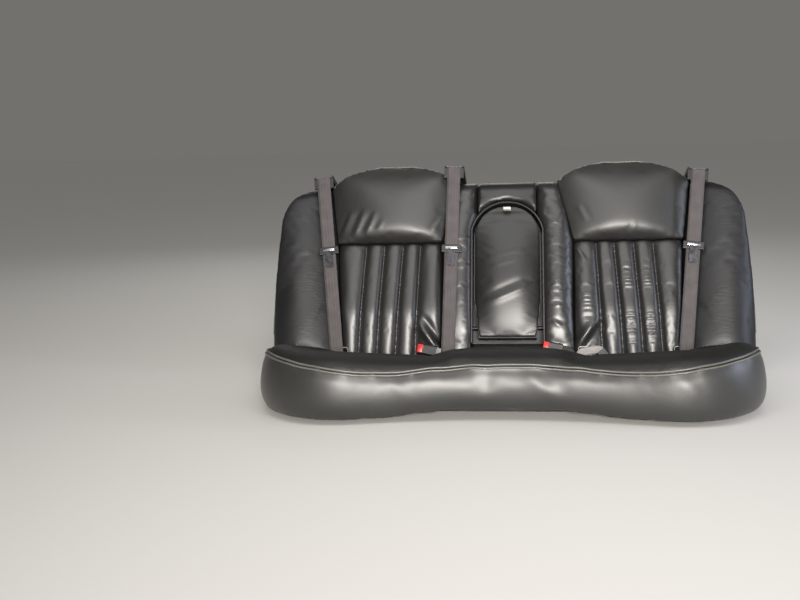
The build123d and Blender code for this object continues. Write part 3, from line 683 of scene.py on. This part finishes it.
def finish_pads(made):
    """Folds and the tuck, then smooth surfaces, then channels and ladder creases."""
    for name, *fold in FOLDS:
        crease(made[name], BACK, *fold)
    skirt = made["cushion_skirt"]
    for fold in SKIRT_FOLDS:
        crease(skirt, FRONT, *fold)
    tuck_skirt(skirt, skirt_outline(skirt))
    for piece in made.values():
        relax(piece, 3 if piece == skirt else 1)
        subdivide(piece)
        close_up(piece)
        smooth_faces(piece.data)
    for side in ("left", "right"):
        cut_channels(made[f"back_flutes_{side}"], BACK, True)
        cut_channels(made[f"cushion_flutes_{side}"], UPRIGHT, False)
    for name, *creases in LADDERS:
        ladder(made[name], *creases)


pads, covers = make_pads()
for side in ("left", "right"):
    square_flutes(pads[f"back_flutes_{side}"])
    relax(pads[f"back_flutes_{side}"], 2)
shape_crest(pads["crest_pad"])
shape_armrest(pads["armrest_pad"])
lay_nose_over(pads["cushion_nose"], skirt_outline(pads["cushion_skirt"]))
for piece, held, limit, growth, bending in covers:
    add_cover(piece, held, growth, bending)
swell([(piece, limit) for piece, _, limit, _, _ in covers])
finish_pads(pads)


# Piping and welts: leather cord sewn along the edges

CORD_R = 3.0 * MM
# how far inside the skirt's outer face each cord of the welt lies, and how far above its top
WELT_CORDS = ((5.2 * MM, 5.1 * MM), (0.5 * MM, -1.9 * MM))


def cord_mesh(name, points):
    """Round leather cord along points, closed at both ends."""
    data = bpy.data.curves.new(name, "CURVE")
    data.dimensions = "3D"
    data.bevel_depth = CORD_R
    data.bevel_resolution = 2
    data.use_fill_caps = True
    spline = data.splines.new("POLY")
    spline.points.add(len(points) - 1)
    for point, place in zip(spline.points, points):
        point.co = (*place, 1)
    line = new_object(f"{name}_line", data)
    mesh = bpy.data.meshes.new_from_object(line.evaluated_get(bpy.context.evaluated_depsgraph_get()))
    bpy.data.objects.remove(line)
    smooth_faces(mesh)
    return new_object(name, mesh)


def trace_edge(piece, centre, w, first, last):
    """Points where rays towards a centre, in a plane w of the back, meet the pad."""
    surface = surface_of(piece)
    found = []
    for number in range(EDGE_RAYS + 1):
        angle = math.radians(between(first, last, number / EDGE_RAYS))
        way = Vector((math.sin(angle), math.cos(angle), 0))
        hit = surface.ray_cast(BACK @ (Vector((*centre, w)) + way), BACK.to_3x3() @ -way)[0]
        if hit is not None:
            found.append(hit)
    return found


EDGE_RAYS = 70
# pad, centre x and u, w of the edge, first and last direction from straight up in degrees
PIPED_EDGES = (
    ("head_pad", (0.369, 0.470), 76 * MM, -71, 72),
    ("wing", (0.600, 0.300), 72 * MM, -8, 152),
)


def make_piping():
    made = []
    for name, centre, w, first, last in PIPED_EDGES:
        for side, sign in (("left", -1), ("right", 1)):
            middle = (sign * centre[0], centre[1])
            points = trace_edge(pads[f"{name}_{side}"], middle, w, sign * first, sign * last)
            made.append(cord_mesh(f"{name}_piping_{side}", smoothed(points, 3)))
    outline = skirt_outline(pads["cushion_skirt"])
    for number, (inset, rise) in enumerate(WELT_CORDS, 1):
        points = []
        for place in outline:
            inward = ((PLAN_CENTRE - place) * Vector((1, 1, 0))).normalized()
            points.append(place + inward * inset + Vector((0, 0, rise)))
        made.append(cord_mesh(f"cushion_welt_{number}", smoothed(points, 4)))
    for piece in made:
        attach(piece, "seat")
    return made


piping = make_piping()


# Webbing

def rounded(corners, radius, step):
    """A line through corners, each turned with an arc, with points about a step apart."""
    line = [corners[0]]
    for before, corner, after in zip(corners, corners[1:], corners[2:]):
        into, out = (corner - before).normalized(), (after - corner).normalized()
        turn = into.angle(out)
        reach = radius * math.tan(turn / 2)
        start = corner - into * reach
        side = (out - into * math.cos(turn)).normalized()
        run(line, start, step)
        pieces = max(3, round(turn / 0.2))
        for number in range(1, pieces + 1):
            angle = turn * number / pieces
            ahead, aside = radius * math.sin(angle), radius * (1 - math.cos(angle))
            line.append(start + into * ahead + side * aside)
    run(line, corners[-1], step)
    return line


def run(line, end, step):
    """Adds even points on a straight run."""
    start = line[-1]
    pieces = max(1, round((end - start).length / step))
    for number in range(1, pieces + 1):
        line.append(start.lerp(end, number / pieces))


def webbing(name, line, across, half, thickness, matrix):
    """Woven strap: a grid laid along a line, with its thickness and its weave's own coordinates."""
    rows = len(line) - 1
    bm = bmesh.new()
    bmesh.ops.create_grid(bm, x_segments=WEBBING_COLUMNS, y_segments=rows, size=1)
    weft = bm.verts.layers.float.new("weft")
    warp = bm.verts.layers.float.new("warp")
    lengths = [0.0]
    for before, after in zip(line, line[1:]):
        lengths.append(lengths[-1] + (after - before).length)
    for vert in bm.verts:
        row = round((vert.co.y + 1) / 2 * rows)
        offset = vert.co.x * half
        vert[weft], vert[warp] = offset, lengths[row]
        vert.co = line[row] + across[row] * offset
    bm.normal_update()
    bmesh.ops.solidify(bm, geom=bm.faces[:], thickness=thickness)
    weave = bm.loops.layers.uv.new("weave")
    for face in bm.faces:
        face.smooth = True
        for loop in face.loops:
            loop[weave].uv = (loop.vert[weft], loop.vert[warp])
    bm.verts.layers.float.remove(bm.verts.layers.float["weft"])
    bm.verts.layers.float.remove(bm.verts.layers.float["warp"])
    return end_piece(name, bm, matrix)


def belt_matrix(x0, x1, top_s):
    tilt = math.atan2(x1 - x0, top_s)
    return BACK @ Matrix.Translation((x0, 0, 0)) @ Matrix.Rotation(-tilt, 4, "Z")


def belt_start():
    """u of a point of the belt's plane at its foot."""
    return (BELT_FOOT_Z - BIGHT_Z - (BELT_W0 - FACE_W) * math.sin(BACK_LEAN)) / math.cos(BACK_LEAN)


def belt_webbing(name, x0, x1, top_s):
    corners = [
        Vector((0, belt_start(), BELT_W0)),
        Vector((0, top_s, BELT_W1)),
        Vector((0, top_s, BELT_REAR_W)),
        Vector((0, top_s - RETRACTOR_DROP, BELT_REAR_W - RETRACTOR_LEAN)),
    ]
    line = rounded(corners, BELT_BEND_R, BELT_STEP)
    across = [Vector((1, 0, 0))] * len(line)
    matrix = belt_matrix(x0, x1, top_s)
    return webbing(f"belt_webbing_{name}", line, across, WEBBING_HALF, WEBBING_T, matrix)


def leaning(angle):
    """Direction in the back's plane, in degrees from straight up."""
    return Vector((-math.sin(math.radians(angle)), math.cos(math.radians(angle)), 0))


def strap_webbing(number, x, u, lean, reach, droop):
    """Buckle strap: up out of the bight, over at its elbow, and down again where its buckle droops."""
    elbow = Vector((x, u, BUCKLE_W))
    bend = elbow + leaning(lean) * reach
    corners = [elbow - leaning(0) * STRAP_BELOW, elbow]
    if droop == lean:
        corners.append(bend + leaning(droop) * (STRAP_TAIL + 4 * MM))
    else:
        corners += [bend, bend + leaning(droop) * (STRAP_TAIL + 10 * MM)]
    line = rounded(corners, STRAP_BEND_R, STRAP_STEP)
    across = []
    for before, after in zip([line[0]] + line[:-1], line[1:] + [line[-1]]):
        along = (after - before).normalized()
        across.append(Vector((along.y, -along.x, 0)))
    return webbing(f"buckle_strap_webbing_{number}", line, across, STRAP_HALF, STRAP_T, BACK)


def soft_block(name, size, place, radius, matrix):
    """Block with rounded edges, its middle at a place."""
    bm = bmesh.new()
    bmesh.ops.create_cube(bm, size=1)
    bmesh.ops.scale(bm, verts=bm.verts, vec=size)
    bmesh.ops.translate(bm, verts=bm.verts, vec=place)
    round_edges(bm, bm.edges[:], radius, 3)
    piece = end_piece(name, bm, matrix)
    smooth_faces(piece.data)
    return piece


def buckle_button(number, x, u, lean, reach, droop):
    """Press button that caps the buckle's mouth and laps over its front."""
    elbow = Matrix.Translation((x, u, BUCKLE_W)) @ Matrix.Rotation(math.radians(lean), 4, "Z")
    bend = Matrix.Translation((0, reach, 0)) @ Matrix.Rotation(math.radians(droop - lean), 4, "Z")
    middle = (0, BUCKLE_END + BUTTON_PROUD - BUTTON[1] / 2, BUTTON_RISE)
    return soft_block(f"buckle_button_cap_{number}", BUTTON, middle, BUTTON_EDGE, BACK @ elbow @ bend)


def stand_for(piece, body, node):
    """Puts a piece in place of a CAD node, on its body."""
    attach(piece, body)
    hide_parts(node)
    return piece


def make_webbing():
    belts, straps, buttons = [], [], []
    for name, *row in BELTS:
        belts.append(stand_for(belt_webbing(name, *row), "seat", f"belt_{name}"))
    for number, row in enumerate(BUCKLES, 1):
        straps.append(stand_for(strap_webbing(number, *row), "seat", "buckle_straps"))
        buttons.append(stand_for(buckle_button(number, *row), "seat", "buckle_buttons"))
    return belts, straps, buttons


belts, straps, buttons = make_webbing()


# Tongues: a moulded sleeve on the webbing, a bright bar across it, and a plated blade hanging from it

def frame_face(bm, outer, inner):
    """Flat frame between two rectangles, each half width, low y and high y, in an empty bmesh."""
    bmesh.ops.create_grid(bm, x_segments=1, y_segments=1, size=1)
    bmesh.ops.inset_region(bm, faces=bm.faces[:], thickness=0.3)
    # the corners of the outer rectangle lie at 1, those of the inner one at 0.7
    middle = [face for face in bm.faces if all(abs(vert.co.x) < 0.9 for vert in face.verts)]
    bmesh.ops.delete(bm, geom=middle, context="FACES_ONLY")
    for vert in bm.verts:
        half, low, high = outer if abs(vert.co.x) > 0.9 else inner
        vert.co.x = math.copysign(half, vert.co.x)
        vert.co.y = high if vert.co.y > 0 else low
    return bm.faces[:]


def thicken(bm, faces, depth):
    """Gives flat faces their depth towards +z."""
    made = bmesh.ops.extrude_face_region(bm, geom=faces, use_keep_orig=True)
    moved = [part for part in made["geom"] if isinstance(part, bmesh.types.BMVert)]
    bmesh.ops.translate(bm, verts=moved, vec=(0, 0, depth))


def tongue_matrix(x0, x1, top_s):
    along = top_s - belt_start()
    angle = math.atan2(BELT_W1 - BELT_W0, along)
    foot = Matrix.Translation((0, belt_start(), BELT_W0)) @ Matrix.Rotation(angle, 4, "X")
    return belt_matrix(x0, x1, top_s) @ foot @ Matrix.Translation((0, TONGUE_S - belt_start(), 0))


def tongue_sleeve(name, matrix):
    width, length, depth = SLEEVE
    slot_w, slot_d = SLEEVE_SLOT
    bm = bmesh.new()
    outer, inner = (width / 2, -depth / 2, depth / 2), (slot_w / 2, -slot_d / 2, slot_d / 2)
    thicken(bm, frame_face(bm, outer, inner), length)
    corners = [edge for edge in bm.edges if abs(edge.verts[0].co.x) > slot_w / 2 + MM
               and abs(edge.verts[1].co.x) > slot_w / 2 + MM]
    round_edges(bm, corners, 2.2 * MM, 3)
    # z of the frame becomes the belt's own direction
    stand = Matrix.Translation((0, length / 2, 0)) @ Matrix.Rotation(math.pi / 2, 4, "X")
    return end_piece(f"tongue_sleeve_{name}", bm, matrix @ stand)


def tongue_blade(name, matrix):
    """Blade with its latch window."""
    width, length, thickness = BLADE
    window_half, window_low, window_high = LATCH_WINDOW
    foot = -SLEEVE[1] / 2 - length
    outer = (width / 2, foot, -SLEEVE[1] / 2 + BLADE_ROOT)
    inner = (window_half, foot + window_low, foot + window_high)
    bm = bmesh.new()
    thicken(bm, frame_face(bm, outer, inner), thickness)
    tip = [edge for edge in bm.edges if abs(edge.verts[0].co.z - edge.verts[1].co.z) > MM
           and abs(edge.verts[0].co.x) > 0.9 * width / 2 and edge.verts[0].co.y < foot + MM]
    round_edges(bm, tip, 6 * MM, 4)
    flat = [edge for edge in bm.edges if edge.calc_face_angle(0) > 1.0]
    round_edges(bm, flat, 0.4 * MM, 1)
    front = SLEEVE[2] / 2 - 0.4 * MM
    return end_piece(f"tongue_blade_{name}", bm, matrix @ Matrix.Translation((0, 0, front)))


def tongue_bar(name, matrix):
    """Bright bar across the sleeve's front, which the blade is pressed from."""
    return soft_block(f"tongue_bar_{name}", BAR, (0, BAR_RISE, SLEEVE[2] / 2), BAR_EDGE, matrix)


def make_tongues():
    """Sleeves, blades and bars, as three rows."""
    made = []
    for name, *row in BELTS:
        matrix = tongue_matrix(*row)
        body = f"tongue_{name}"
        made.append([
            stand_for(tongue_sleeve(name, matrix), body, body),
            stand_for(tongue_blade(name, matrix), body, body),
            stand_for(tongue_bar(name, matrix), body, body),
        ])
    return zip(*made)


sleeves, blades, bars = make_tongues()


# Small parts

# u and w of the tape's corners
TAB_LOOP = ((0.4465, 0.084), (0.4475, 0.1035), (0.4405, 0.1035), (0.4415, 0.084))
TAB_BEND_R = 3 * MM
TAB_STEP = 4 * MM
TAB_HALF = 12 * MM
TAB_T = 1.2 * MM


def make_pull_tab():
    """Loop of tape sewn under the armrest pad's top edge."""
    line = rounded([Vector((0, u, w)) for u, w in TAB_LOOP], TAB_BEND_R, TAB_STEP)
    piece = webbing("pull_tab_tape", line, [Vector((1, 0, 0))] * len(line), TAB_HALF, TAB_T, BACK)
    return stand_for(piece, "armrest", "armrest_pull")


CLIP_R = 9 * MM
CLIP_FLATNESS = 0.3
BACK_BOARD_REAR = -5 * MM
# x and u of each clip on one side of the closing board
CLIPS = (
    (0.060, 0.515), (0.250, 0.545), (0.450, 0.545), (0.640, 0.470), (0.690, 0.300),
    (0.700, 0.120), (0.690, -0.010), (0.400, 0.040), (0.060, 0.020),
)


def panel_clips():
    """Push-in clips that hold the closing board, where there is board behind them."""
    board = surface_of(seat_nodes["back_board"])
    bm = bmesh.new()
    flat = Matrix.Diagonal((1, 1, CLIP_FLATNESS, 1))
    for x, u in [(sx * x, u) for sx in (-1, 1) for x, u in CLIPS]:
        if board.ray_cast(BACK @ Vector((x, u, -0.1)), out_of(BACK))[0] is None:
            continue
        head = bmesh.ops.create_uvsphere(bm, u_segments=16, v_segments=8, radius=CLIP_R)["verts"]
        place = BACK @ Matrix.Translation((x, u, BACK_BOARD_REAR))
        bmesh.ops.transform(bm, matrix=place @ flat, verts=head)
    piece = end_piece("panel_clips", bm)
    smooth_faces(piece.data)
    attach(piece, "seat")
    return piece


tab = make_pull_tab()
clips = panel_clips()


# Materials

def hex_colour(text):
    """Linear colour from an sRGB hex value."""
    values = [int(text[start:start + 2], 16) / 255 for start in (1, 3, 5)]
    return (*[v / 12.92 if v <= 0.04045 else ((v + 0.055) / 1.055) ** 2.4 for v in values], 1.0)


def add(tree, kind, inputs=(), **settings):
    """Adds a node with its settings, and its input values or links."""
    node = tree.nodes.new(kind)
    for key, value in settings.items():
        setattr(node, key, value)
    for key, value in dict(inputs).items():
        socket = pick_socket(node, key)
        if isinstance(value, bpy.types.NodeSocket):
            tree.links.new(value, socket)
        else:
            socket.default_value = value
    return node


def pick_socket(node, key):
    """An enabled input by its name or number."""
    if isinstance(key, int):
        return node.inputs[key]
    return next(socket for socket in node.inputs if socket.name == key and socket.enabled)


def new_material(name, colour, roughness, **sockets):
    material = bpy.data.materials.new(name)
    material.use_nodes = True
    tree = material.node_tree
    shader = tree.nodes["Principled BSDF"]
    shader.inputs["Base Color"].default_value = hex_colour(colour)
    shader.inputs["Roughness"].default_value = roughness
    for key, value in sockets.items():
        shader.inputs[key.replace("_", " ")].default_value = value
    return material, tree, shader


def object_place(tree):
    return add(tree, "ShaderNodeTexCoord").outputs["Object"]


def mottle(tree, shader, place, size, dark, light, rough_low, rough_high):
    """Uneven colour and gloss in patches of a size."""
    patches = add(tree, "ShaderNodeTexNoise", {"Vector": place, "Scale": 1 / size, "Detail": 4.0})
    colour = add(tree, "ShaderNodeMix", {"Factor": patches.outputs["Fac"], "A": hex_colour(dark),
                                         "B": hex_colour(light)}, data_type="RGBA")
    tree.links.new(pick_output(colour), shader.inputs["Base Color"])
    rough = add(tree, "ShaderNodeMapRange", {"Value": patches.outputs["Fac"], "From Min": 0.3,
                                             "From Max": 0.7, "To Min": rough_low, "To Max": rough_high})
    tree.links.new(rough.outputs["Result"], shader.inputs["Roughness"])


def pick_output(node):
    return next(socket for socket in node.outputs if socket.enabled)


def relief(tree, height, depth, strength, under=None):
    """Bump of a real depth, on top of another."""
    inputs = {"Height": height, "Distance": depth, "Strength": strength}
    if under is not None:
        inputs["Normal"] = under
    return add(tree, "ShaderNodeBump", inputs).outputs["Normal"]


def pigmented_leather(name, dark, light, gloss, blur, wrinkle, stretch):
    """Cowhide with a black pigment coat: satin gloss, pebble grain, fine wrinkles, worn lighter."""
    material, tree, shader = new_material(name, dark, 0.5, Specular_IOR_Level=0.3, Coat_Weight=gloss,
                                          Coat_Roughness=blur)
    place = object_place(tree)
    mottle(tree, shader, place, 120 * MM, dark, light, 0.45, 0.58)
    # pebble grain is 1 mm on the hide, drawn at 3 mm so that it shows
    pebbles = add(tree, "ShaderNodeTexVoronoi", {"Vector": place, "Scale": 1 / (3 * MM)}, feature="F1")
    normal = relief(tree, pebbles.outputs["Distance"], 0.6 * MM, 0.25)
    # fine wrinkles, 11 mm apart and stretched one way, that come and go over a hand's width
    turned = add(tree, "ShaderNodeMapping", {"Vector": place, "Scale": stretch})
    wrinkles = add(tree, "ShaderNodeTexNoise", {"Vector": turned.outputs["Vector"],
                                                "Scale": 1 / (11 * MM), "Detail": 3.0,
                                                "Roughness": 0.55, "Distortion": 0.4})
    amount = add(tree, "ShaderNodeTexNoise", {"Vector": place, "Scale": 1 / (90 * MM), "Detail": 1.0})
    worn = add(tree, "ShaderNodeMapRange", {"Value": amount.outputs["Fac"], "From Min": 0.4,
                                            "From Max": 0.65})
    height = add(tree, "ShaderNodeMath", {0: wrinkles.outputs["Fac"], 1: worn.outputs["Result"]},
                 operation="MULTIPLY")
    normal = relief(tree, height.outputs["Value"], 6 * MM, wrinkle, normal)
    tree.links.new(normal, shader.inputs["Normal"])
    return material


def painted_highlight_cord_leather(name, dark, light):
    """Thin leather sewn round a cord: smoother, with a pale grey colour that is painted highlight along
    the cords.
    """
    material, tree, shader = new_material(name, dark, 0.45, Specular_IOR_Level=0.7, Coat_Weight=0.3,
                                          Coat_Roughness=0.3)
    place = object_place(tree)
    mottle(tree, shader, place, 45 * MM, dark, light, 0.38, 0.55)
    puckers = add(tree, "ShaderNodeTexNoise", {"Vector": place, "Scale": 1 / (5 * MM), "Detail": 2.0})
    tree.links.new(relief(tree, puckers.outputs["Fac"], 0.8 * MM, 0.5), shader.inputs["Normal"])
    return material


def wave_scale(spacing):
    """Scale at which a wave texture's bands lie a spacing apart."""
    return 2 * math.pi / spacing / 20


def woven_polyester(name, dark, light, panels):
    """Belt webbing: ribs across it, a few wider bands along it, dull with a little sheen."""
    material, tree, shader = new_material(name, dark, 0.7, Sheen_Weight=0.3, Sheen_Roughness=0.4)
    weave = add(tree, "ShaderNodeUVMap", uv_map="weave").outputs["UV"]
    # picks are 0.5 mm apart, drawn at 2.4 mm
    ribs = add(tree, "ShaderNodeTexWave", {"Vector": weave, "Scale": wave_scale(2.4 * MM),
                                           "Distortion": 0.6, "Detail": 1.0, "Detail Scale": 2.0},
               bands_direction="Y")
    bands = add(tree, "ShaderNodeTexWave", {"Vector": weave, "Scale": wave_scale(panels)},
                bands_direction="X")
    threads = add(tree, "ShaderNodeMath", {0: ribs.outputs["Fac"], 1: 0.5}, operation="MULTIPLY")
    height = add(tree, "ShaderNodeMath", {0: threads.outputs["Value"], 1: bands.outputs["Fac"]},
                 operation="ADD")
    patches = add(tree, "ShaderNodeTexNoise", {"Vector": weave, "Scale": 1 / (30 * MM), "Detail": 3.0})
    share = add(tree, "ShaderNodeMapRange", {"Value": patches.outputs["Fac"], "From Min": 0.25,
                                             "From Max": 0.75})
    colour = add(tree, "ShaderNodeMix", {"Factor": share.outputs["Result"], "A": hex_colour(dark),
                                         "B": hex_colour(light)}, data_type="RGBA")
    tree.links.new(pick_output(colour), shader.inputs["Base Color"])
    tree.links.new(relief(tree, height.outputs["Value"], 0.6 * MM, 0.6), shader.inputs["Normal"])
    return material


def moulded_plastic(name, dark, light, grain, rough_low, rough_high, depth=0.3 * MM):
    """Moulded or vacuum-formed sheet with an etched grain: dull, and polished a little in places."""
    material, tree, shader = new_material(name, dark, rough_low)
    place = object_place(tree)
    mottle(tree, shader, place, 60 * MM, dark, light, rough_low, rough_high)
    etched = add(tree, "ShaderNodeTexNoise", {"Vector": place, "Scale": 1 / grain, "Detail": 2.0})
    tree.links.new(relief(tree, etched.outputs["Fac"], depth, 0.5), shader.inputs["Normal"])
    return material


def plated_metal(name, dark, light, rough_low, rough_high):
    """Plated or enamelled steel: small differences in gloss, fine scratches."""
    material, tree, shader = new_material(name, dark, rough_low, Metallic=1.0)
    place = object_place(tree)
    mottle(tree, shader, place, 12 * MM, dark, light, rough_low, rough_high)
    # scratches lie 1.5 mm apart and run eight times as far
    lines = add(tree, "ShaderNodeMapping", {"Vector": place, "Scale": (1.0, 8.0, 8.0)})
    scratches = add(tree, "ShaderNodeTexNoise", {"Vector": lines.outputs["Vector"],
                                                 "Scale": 1 / (1.5 * MM) / 8})
    tree.links.new(relief(tree, scratches.outputs["Fac"], 0.05 * MM, 0.15), shader.inputs["Normal"])
    return material


def enamelled_steel(name, dark, light):
    """Dipped black enamel on tube and sheet: glossy with an orange-peel skin, scuffed dull in places."""
    material, tree, shader = new_material(name, dark, 0.35, Coat_Weight=0.3, Coat_Roughness=0.15)
    place = object_place(tree)
    mottle(tree, shader, place, 35 * MM, dark, light, 0.3, 0.55)
    peel = add(tree, "ShaderNodeTexNoise", {"Vector": place, "Scale": 1 / (4 * MM), "Detail": 1.0})
    tree.links.new(relief(tree, peel.outputs["Fac"], 0.4 * MM, 0.35), shader.inputs["Normal"])
    return material


def hardboard(name):
    """Pressed wood fibre: brown-black, matt, with short pale fibres lying all ways."""
    material, tree, shader = new_material(name, "#2b2622", 0.85)
    place = object_place(tree)
    mottle(tree, shader, place, 150 * MM, "#26211d", "#3a322b", 0.75, 0.9)
    fibres = add(tree, "ShaderNodeTexNoise", {"Vector": place, "Scale": 1 / (6 * MM), "Detail": 6.0,
                                              "Roughness": 0.8, "Distortion": 2.5})
    tree.links.new(relief(tree, fibres.outputs["Fac"], 0.6 * MM, 0.5), shader.inputs["Normal"])
    return material


# name, dark and light colour, the coat's weight and roughness, the wrinkles' strength and stretch
LEATHERS = (
    # the first row is the same black hide as the rest, painted lighter as if lit: painted light on the
    # head pads and the skirt
    ("pigmented_leather", "#1a1a19", "#2a2a28", 0.9, 0.41, 0.15, (1.0, 1.0, 1.0)),
    ("fluted_leather", "#0f0f0f", "#1c1c1b", 1.0, 0.38, 0.20, (0.5, 1.0, 1.6)),
    ("creased_leather", "#0f0f0f", "#1b1b1a", 0.9, 0.34, 0.40, (0.35, 1.0, 1.8)),
    # the armrest's row, worn by the armrest and the crest, is painted darker: painted shade of the
    # recess they sit in
    ("armrest_leather", "#0b0b0b", "#151514", 0.6, 0.35, 0.15, (0.35, 1.0, 1.8)),
    ("wing_leather", "#0d0d0f", "#17171a", 0.30, 0.42, 0.25, (0.4, 1.0, 1.8)),
    ("seat_leather", "#10100f", "#1a1a19", 0.08, 0.50, 0.20, (1.0, 1.0, 1.0)),
)
# the first of these, leather, is painted lighter as if lit
leather, fluted, creased, arm_leather_painted_shade, wing_leather, seat_leather = [
    pigmented_leather(*row) for row in LEATHERS]
# pale grey on the welt and piping cords: painted highlight, for the light their edges catch
cord_leather_painted_highlight = painted_highlight_cord_leather("painted_highlight_cord_leather", "#3d3e3a", "#5a5b55")
belt_cloth = woven_polyester("belt_polyester", "#3d3838", "#4b4646", 9 * MM)
strap_cloth = woven_polyester("strap_polyester", "#7c7876", "#918c89", 6 * MM)
black_strap_cloth = woven_polyester("black_strap_polyester", "#151414", "#201f1f", 6 * MM)
tape_cloth = woven_polyester("tape_cotton", "#b9b5ac", "#cfcbc2", 4 * MM)
moulded = moulded_plastic("moulded_abs", "#131314", "#1c1c1e", 1.2 * MM, 0.35, 0.5)
chrome = plated_metal("chromed_steel", "#b9babd", "#d2d3d5", 0.18, 0.3)
blade_steel = plated_metal("hardened_blade_steel", "#3c3c3f", "#56565a", 0.28, 0.42)
red = moulded_plastic("red_abs", "#a3150f", "#b81c14", 1.5 * MM, 0.28, 0.4)

# the pads that are stretched smooth; they wear the leather painted lighter, as if lit
SMOOTH_PADS = ("head_pad_left", "head_pad_right", "cushion_skirt")


def pad_leather(name):
    """Each pad's leather and slot: the sitting surface is dull, the faces that show most are glossy. The
    smooth pads wear leather painted lighter as if lit, the armrest and crest leather painted darker as
    shade.
    """
    if "flutes" in name:
        return (seat_leather if name.startswith("cushion") else fluted), "fluted_leather"
    if name == "armrest_pad":
        return arm_leather_painted_shade, "armrest_leather"
    if name == "crest_pad":
        return arm_leather_painted_shade, "leather"
    if name in SMOOTH_PADS:
        return leather, "leather"
    if name.startswith("wing"):
        return wing_leather, "leather"
    return (seat_leather if name.startswith("cushion") else creased), "leather"


def wear(piece, material):
    piece.data.materials.clear()
    piece.data.materials.append(material)


for name, pad in pads.items():
    material, slot = pad_leather(name)
    wear(pad, material)
for piece in piping:
    wear(piece, cord_leather_painted_highlight)
for pieces, material in (
    (belts, belt_cloth), (straps[::2], strap_cloth), (straps[1:2], black_strap_cloth), (buttons, red),
    (sleeves, moulded), (blades, blade_steel), (bars, chrome), ([tab], tape_cloth), ([clips], moulded),
):
    for piece in pieces:
        wear(piece, material)

finishes = {
    "leather": leather,
    "fluted_leather": fluted,
    "armrest_leather": arm_leather_painted_shade,
    "liner_plastic": moulded_plastic(
        "vacuum_formed_liner", "#141415", "#1d1d1f", 2.2 * MM, 0.45, 0.6, 0.5 * MM),
    "trim_plastic": moulded,
    "board": hardboard("fibreboard"),
    "frame_steel": enamelled_steel("black_enamel", "#141415", "#1f1f20"),
    "pan_steel": enamelled_steel("grey_enamel", "#2a2b2d", "#37383a"),
    "webbing": belt_cloth,
    "pale_webbing": strap_cloth,
    "tongue_steel": chrome,
    "pin_steel": plated_metal("blackened_steel", "#2c2c2e", "#3a3a3c", 0.4, 0.55),
    "zinc": plated_metal("zinc_plated_wire", "#66645f", "#7d7b74", 0.35, 0.5),
    "red_plastic": red,
    "pull_tab": tape_cloth,
}
for part in frame["record"]["subparts"]:
    wear(seat_nodes[part["node"]], finishes[part["material_slot"]])


# Stage, light and camera

BACKDROP = "#72716d"
FLOOR_HALF = 60
LIT_POINT = (0, 0, 0.35)
# name, position, width and height, watts, colour, spread in degrees
LAMPS = (
    ("key", (0.50, -5.0, 1.36), (1.5, 0.7), 50, "#fffaf4", 60),
    ("overhead", (0.0, -1.3, 2.7), (2.4, 1.2), 32, "#ffffff", 180),
    ("rear_fill", (-0.6, 3.2, 2.2), (2.4, 1.4), 18, "#ffffff", 180),
    ("cool_side", (2.8, -0.5, 1.0), (0.8, 1.2), 28, "#dfe8ff", 180),
)


def stage_floor():
    bm = bmesh.new()
    bmesh.ops.create_grid(bm, x_segments=1, y_segments=1, size=FLOOR_HALF)
    floor = end_piece("floor", bm)
    material, _, _ = new_material("pale_floor", "#c9c7c3", 0.9)
    floor.data.materials.append(material)


def area_light(name, position, size, watts, colour, spread):
    data = bpy.data.lights.new(name, "AREA")
    data.spread = math.radians(spread)
    data.shape = "RECTANGLE"
    data.size, data.size_y = size
    data.energy = watts
    data.color = hex_colour(colour)[:3]
    aim = (Vector(LIT_POINT) - Vector(position)).to_track_quat("-Z", "Y").to_matrix().to_4x4()
    new_object(name, data).matrix_world = Matrix.Translation(position) @ aim


def light_up():
    """An even grey room, and the backdrop that the camera and reflections see instead of it."""
    world = bpy.data.worlds.new("studio")
    bpy.context.scene.world = world
    world.use_nodes = True
    tree = world.node_tree
    room = tree.nodes["Background"]
    room.inputs["Color"].default_value = hex_colour("#c8c7c4")
    room.inputs["Strength"].default_value = 0.5
    seen = add(tree, "ShaderNodeBackground", {"Color": hex_colour(BACKDROP), "Strength": 1.0})
    rays = add(tree, "ShaderNodeLightPath")
    share = rays.outputs["Is Camera Ray"]
    for kind in ("Is Glossy Ray", "Is Transmission Ray"):
        either = add(tree, "ShaderNodeMath", {0: share, 1: rays.outputs[kind]}, operation="MAXIMUM")
        share = either.outputs["Value"]
    mixed = add(tree, "ShaderNodeMixShader", {0: share, 1: room.outputs["Background"],
                                              2: seen.outputs["Background"]})
    tree.links.new(mixed.outputs["Shader"], tree.nodes["World Output"].inputs["Surface"])
    for row in LAMPS:
        area_light(*row)


def camera():
    data = bpy.data.cameras.new("camera")
    data.sensor_width = SENSOR_MM
    data.lens = FOCAL_PX * SENSOR_MM / IMAGE_W
    data.clip_end = 100
    eye = new_object("camera", data)
    turn = Matrix.Rotation(EYE_YAW, 4, "Z") @ Matrix.Rotation(math.pi / 2 - EYE_PITCH, 4, "X")
    eye.matrix_world = Matrix.Translation(EYE) @ turn @ Matrix.Rotation(EYE_ROLL, 4, "Z")
    bpy.context.scene.camera = eye


stage_floor()
light_up()
camera()
bpy.context.scene.view_settings.view_transform = "Standard"
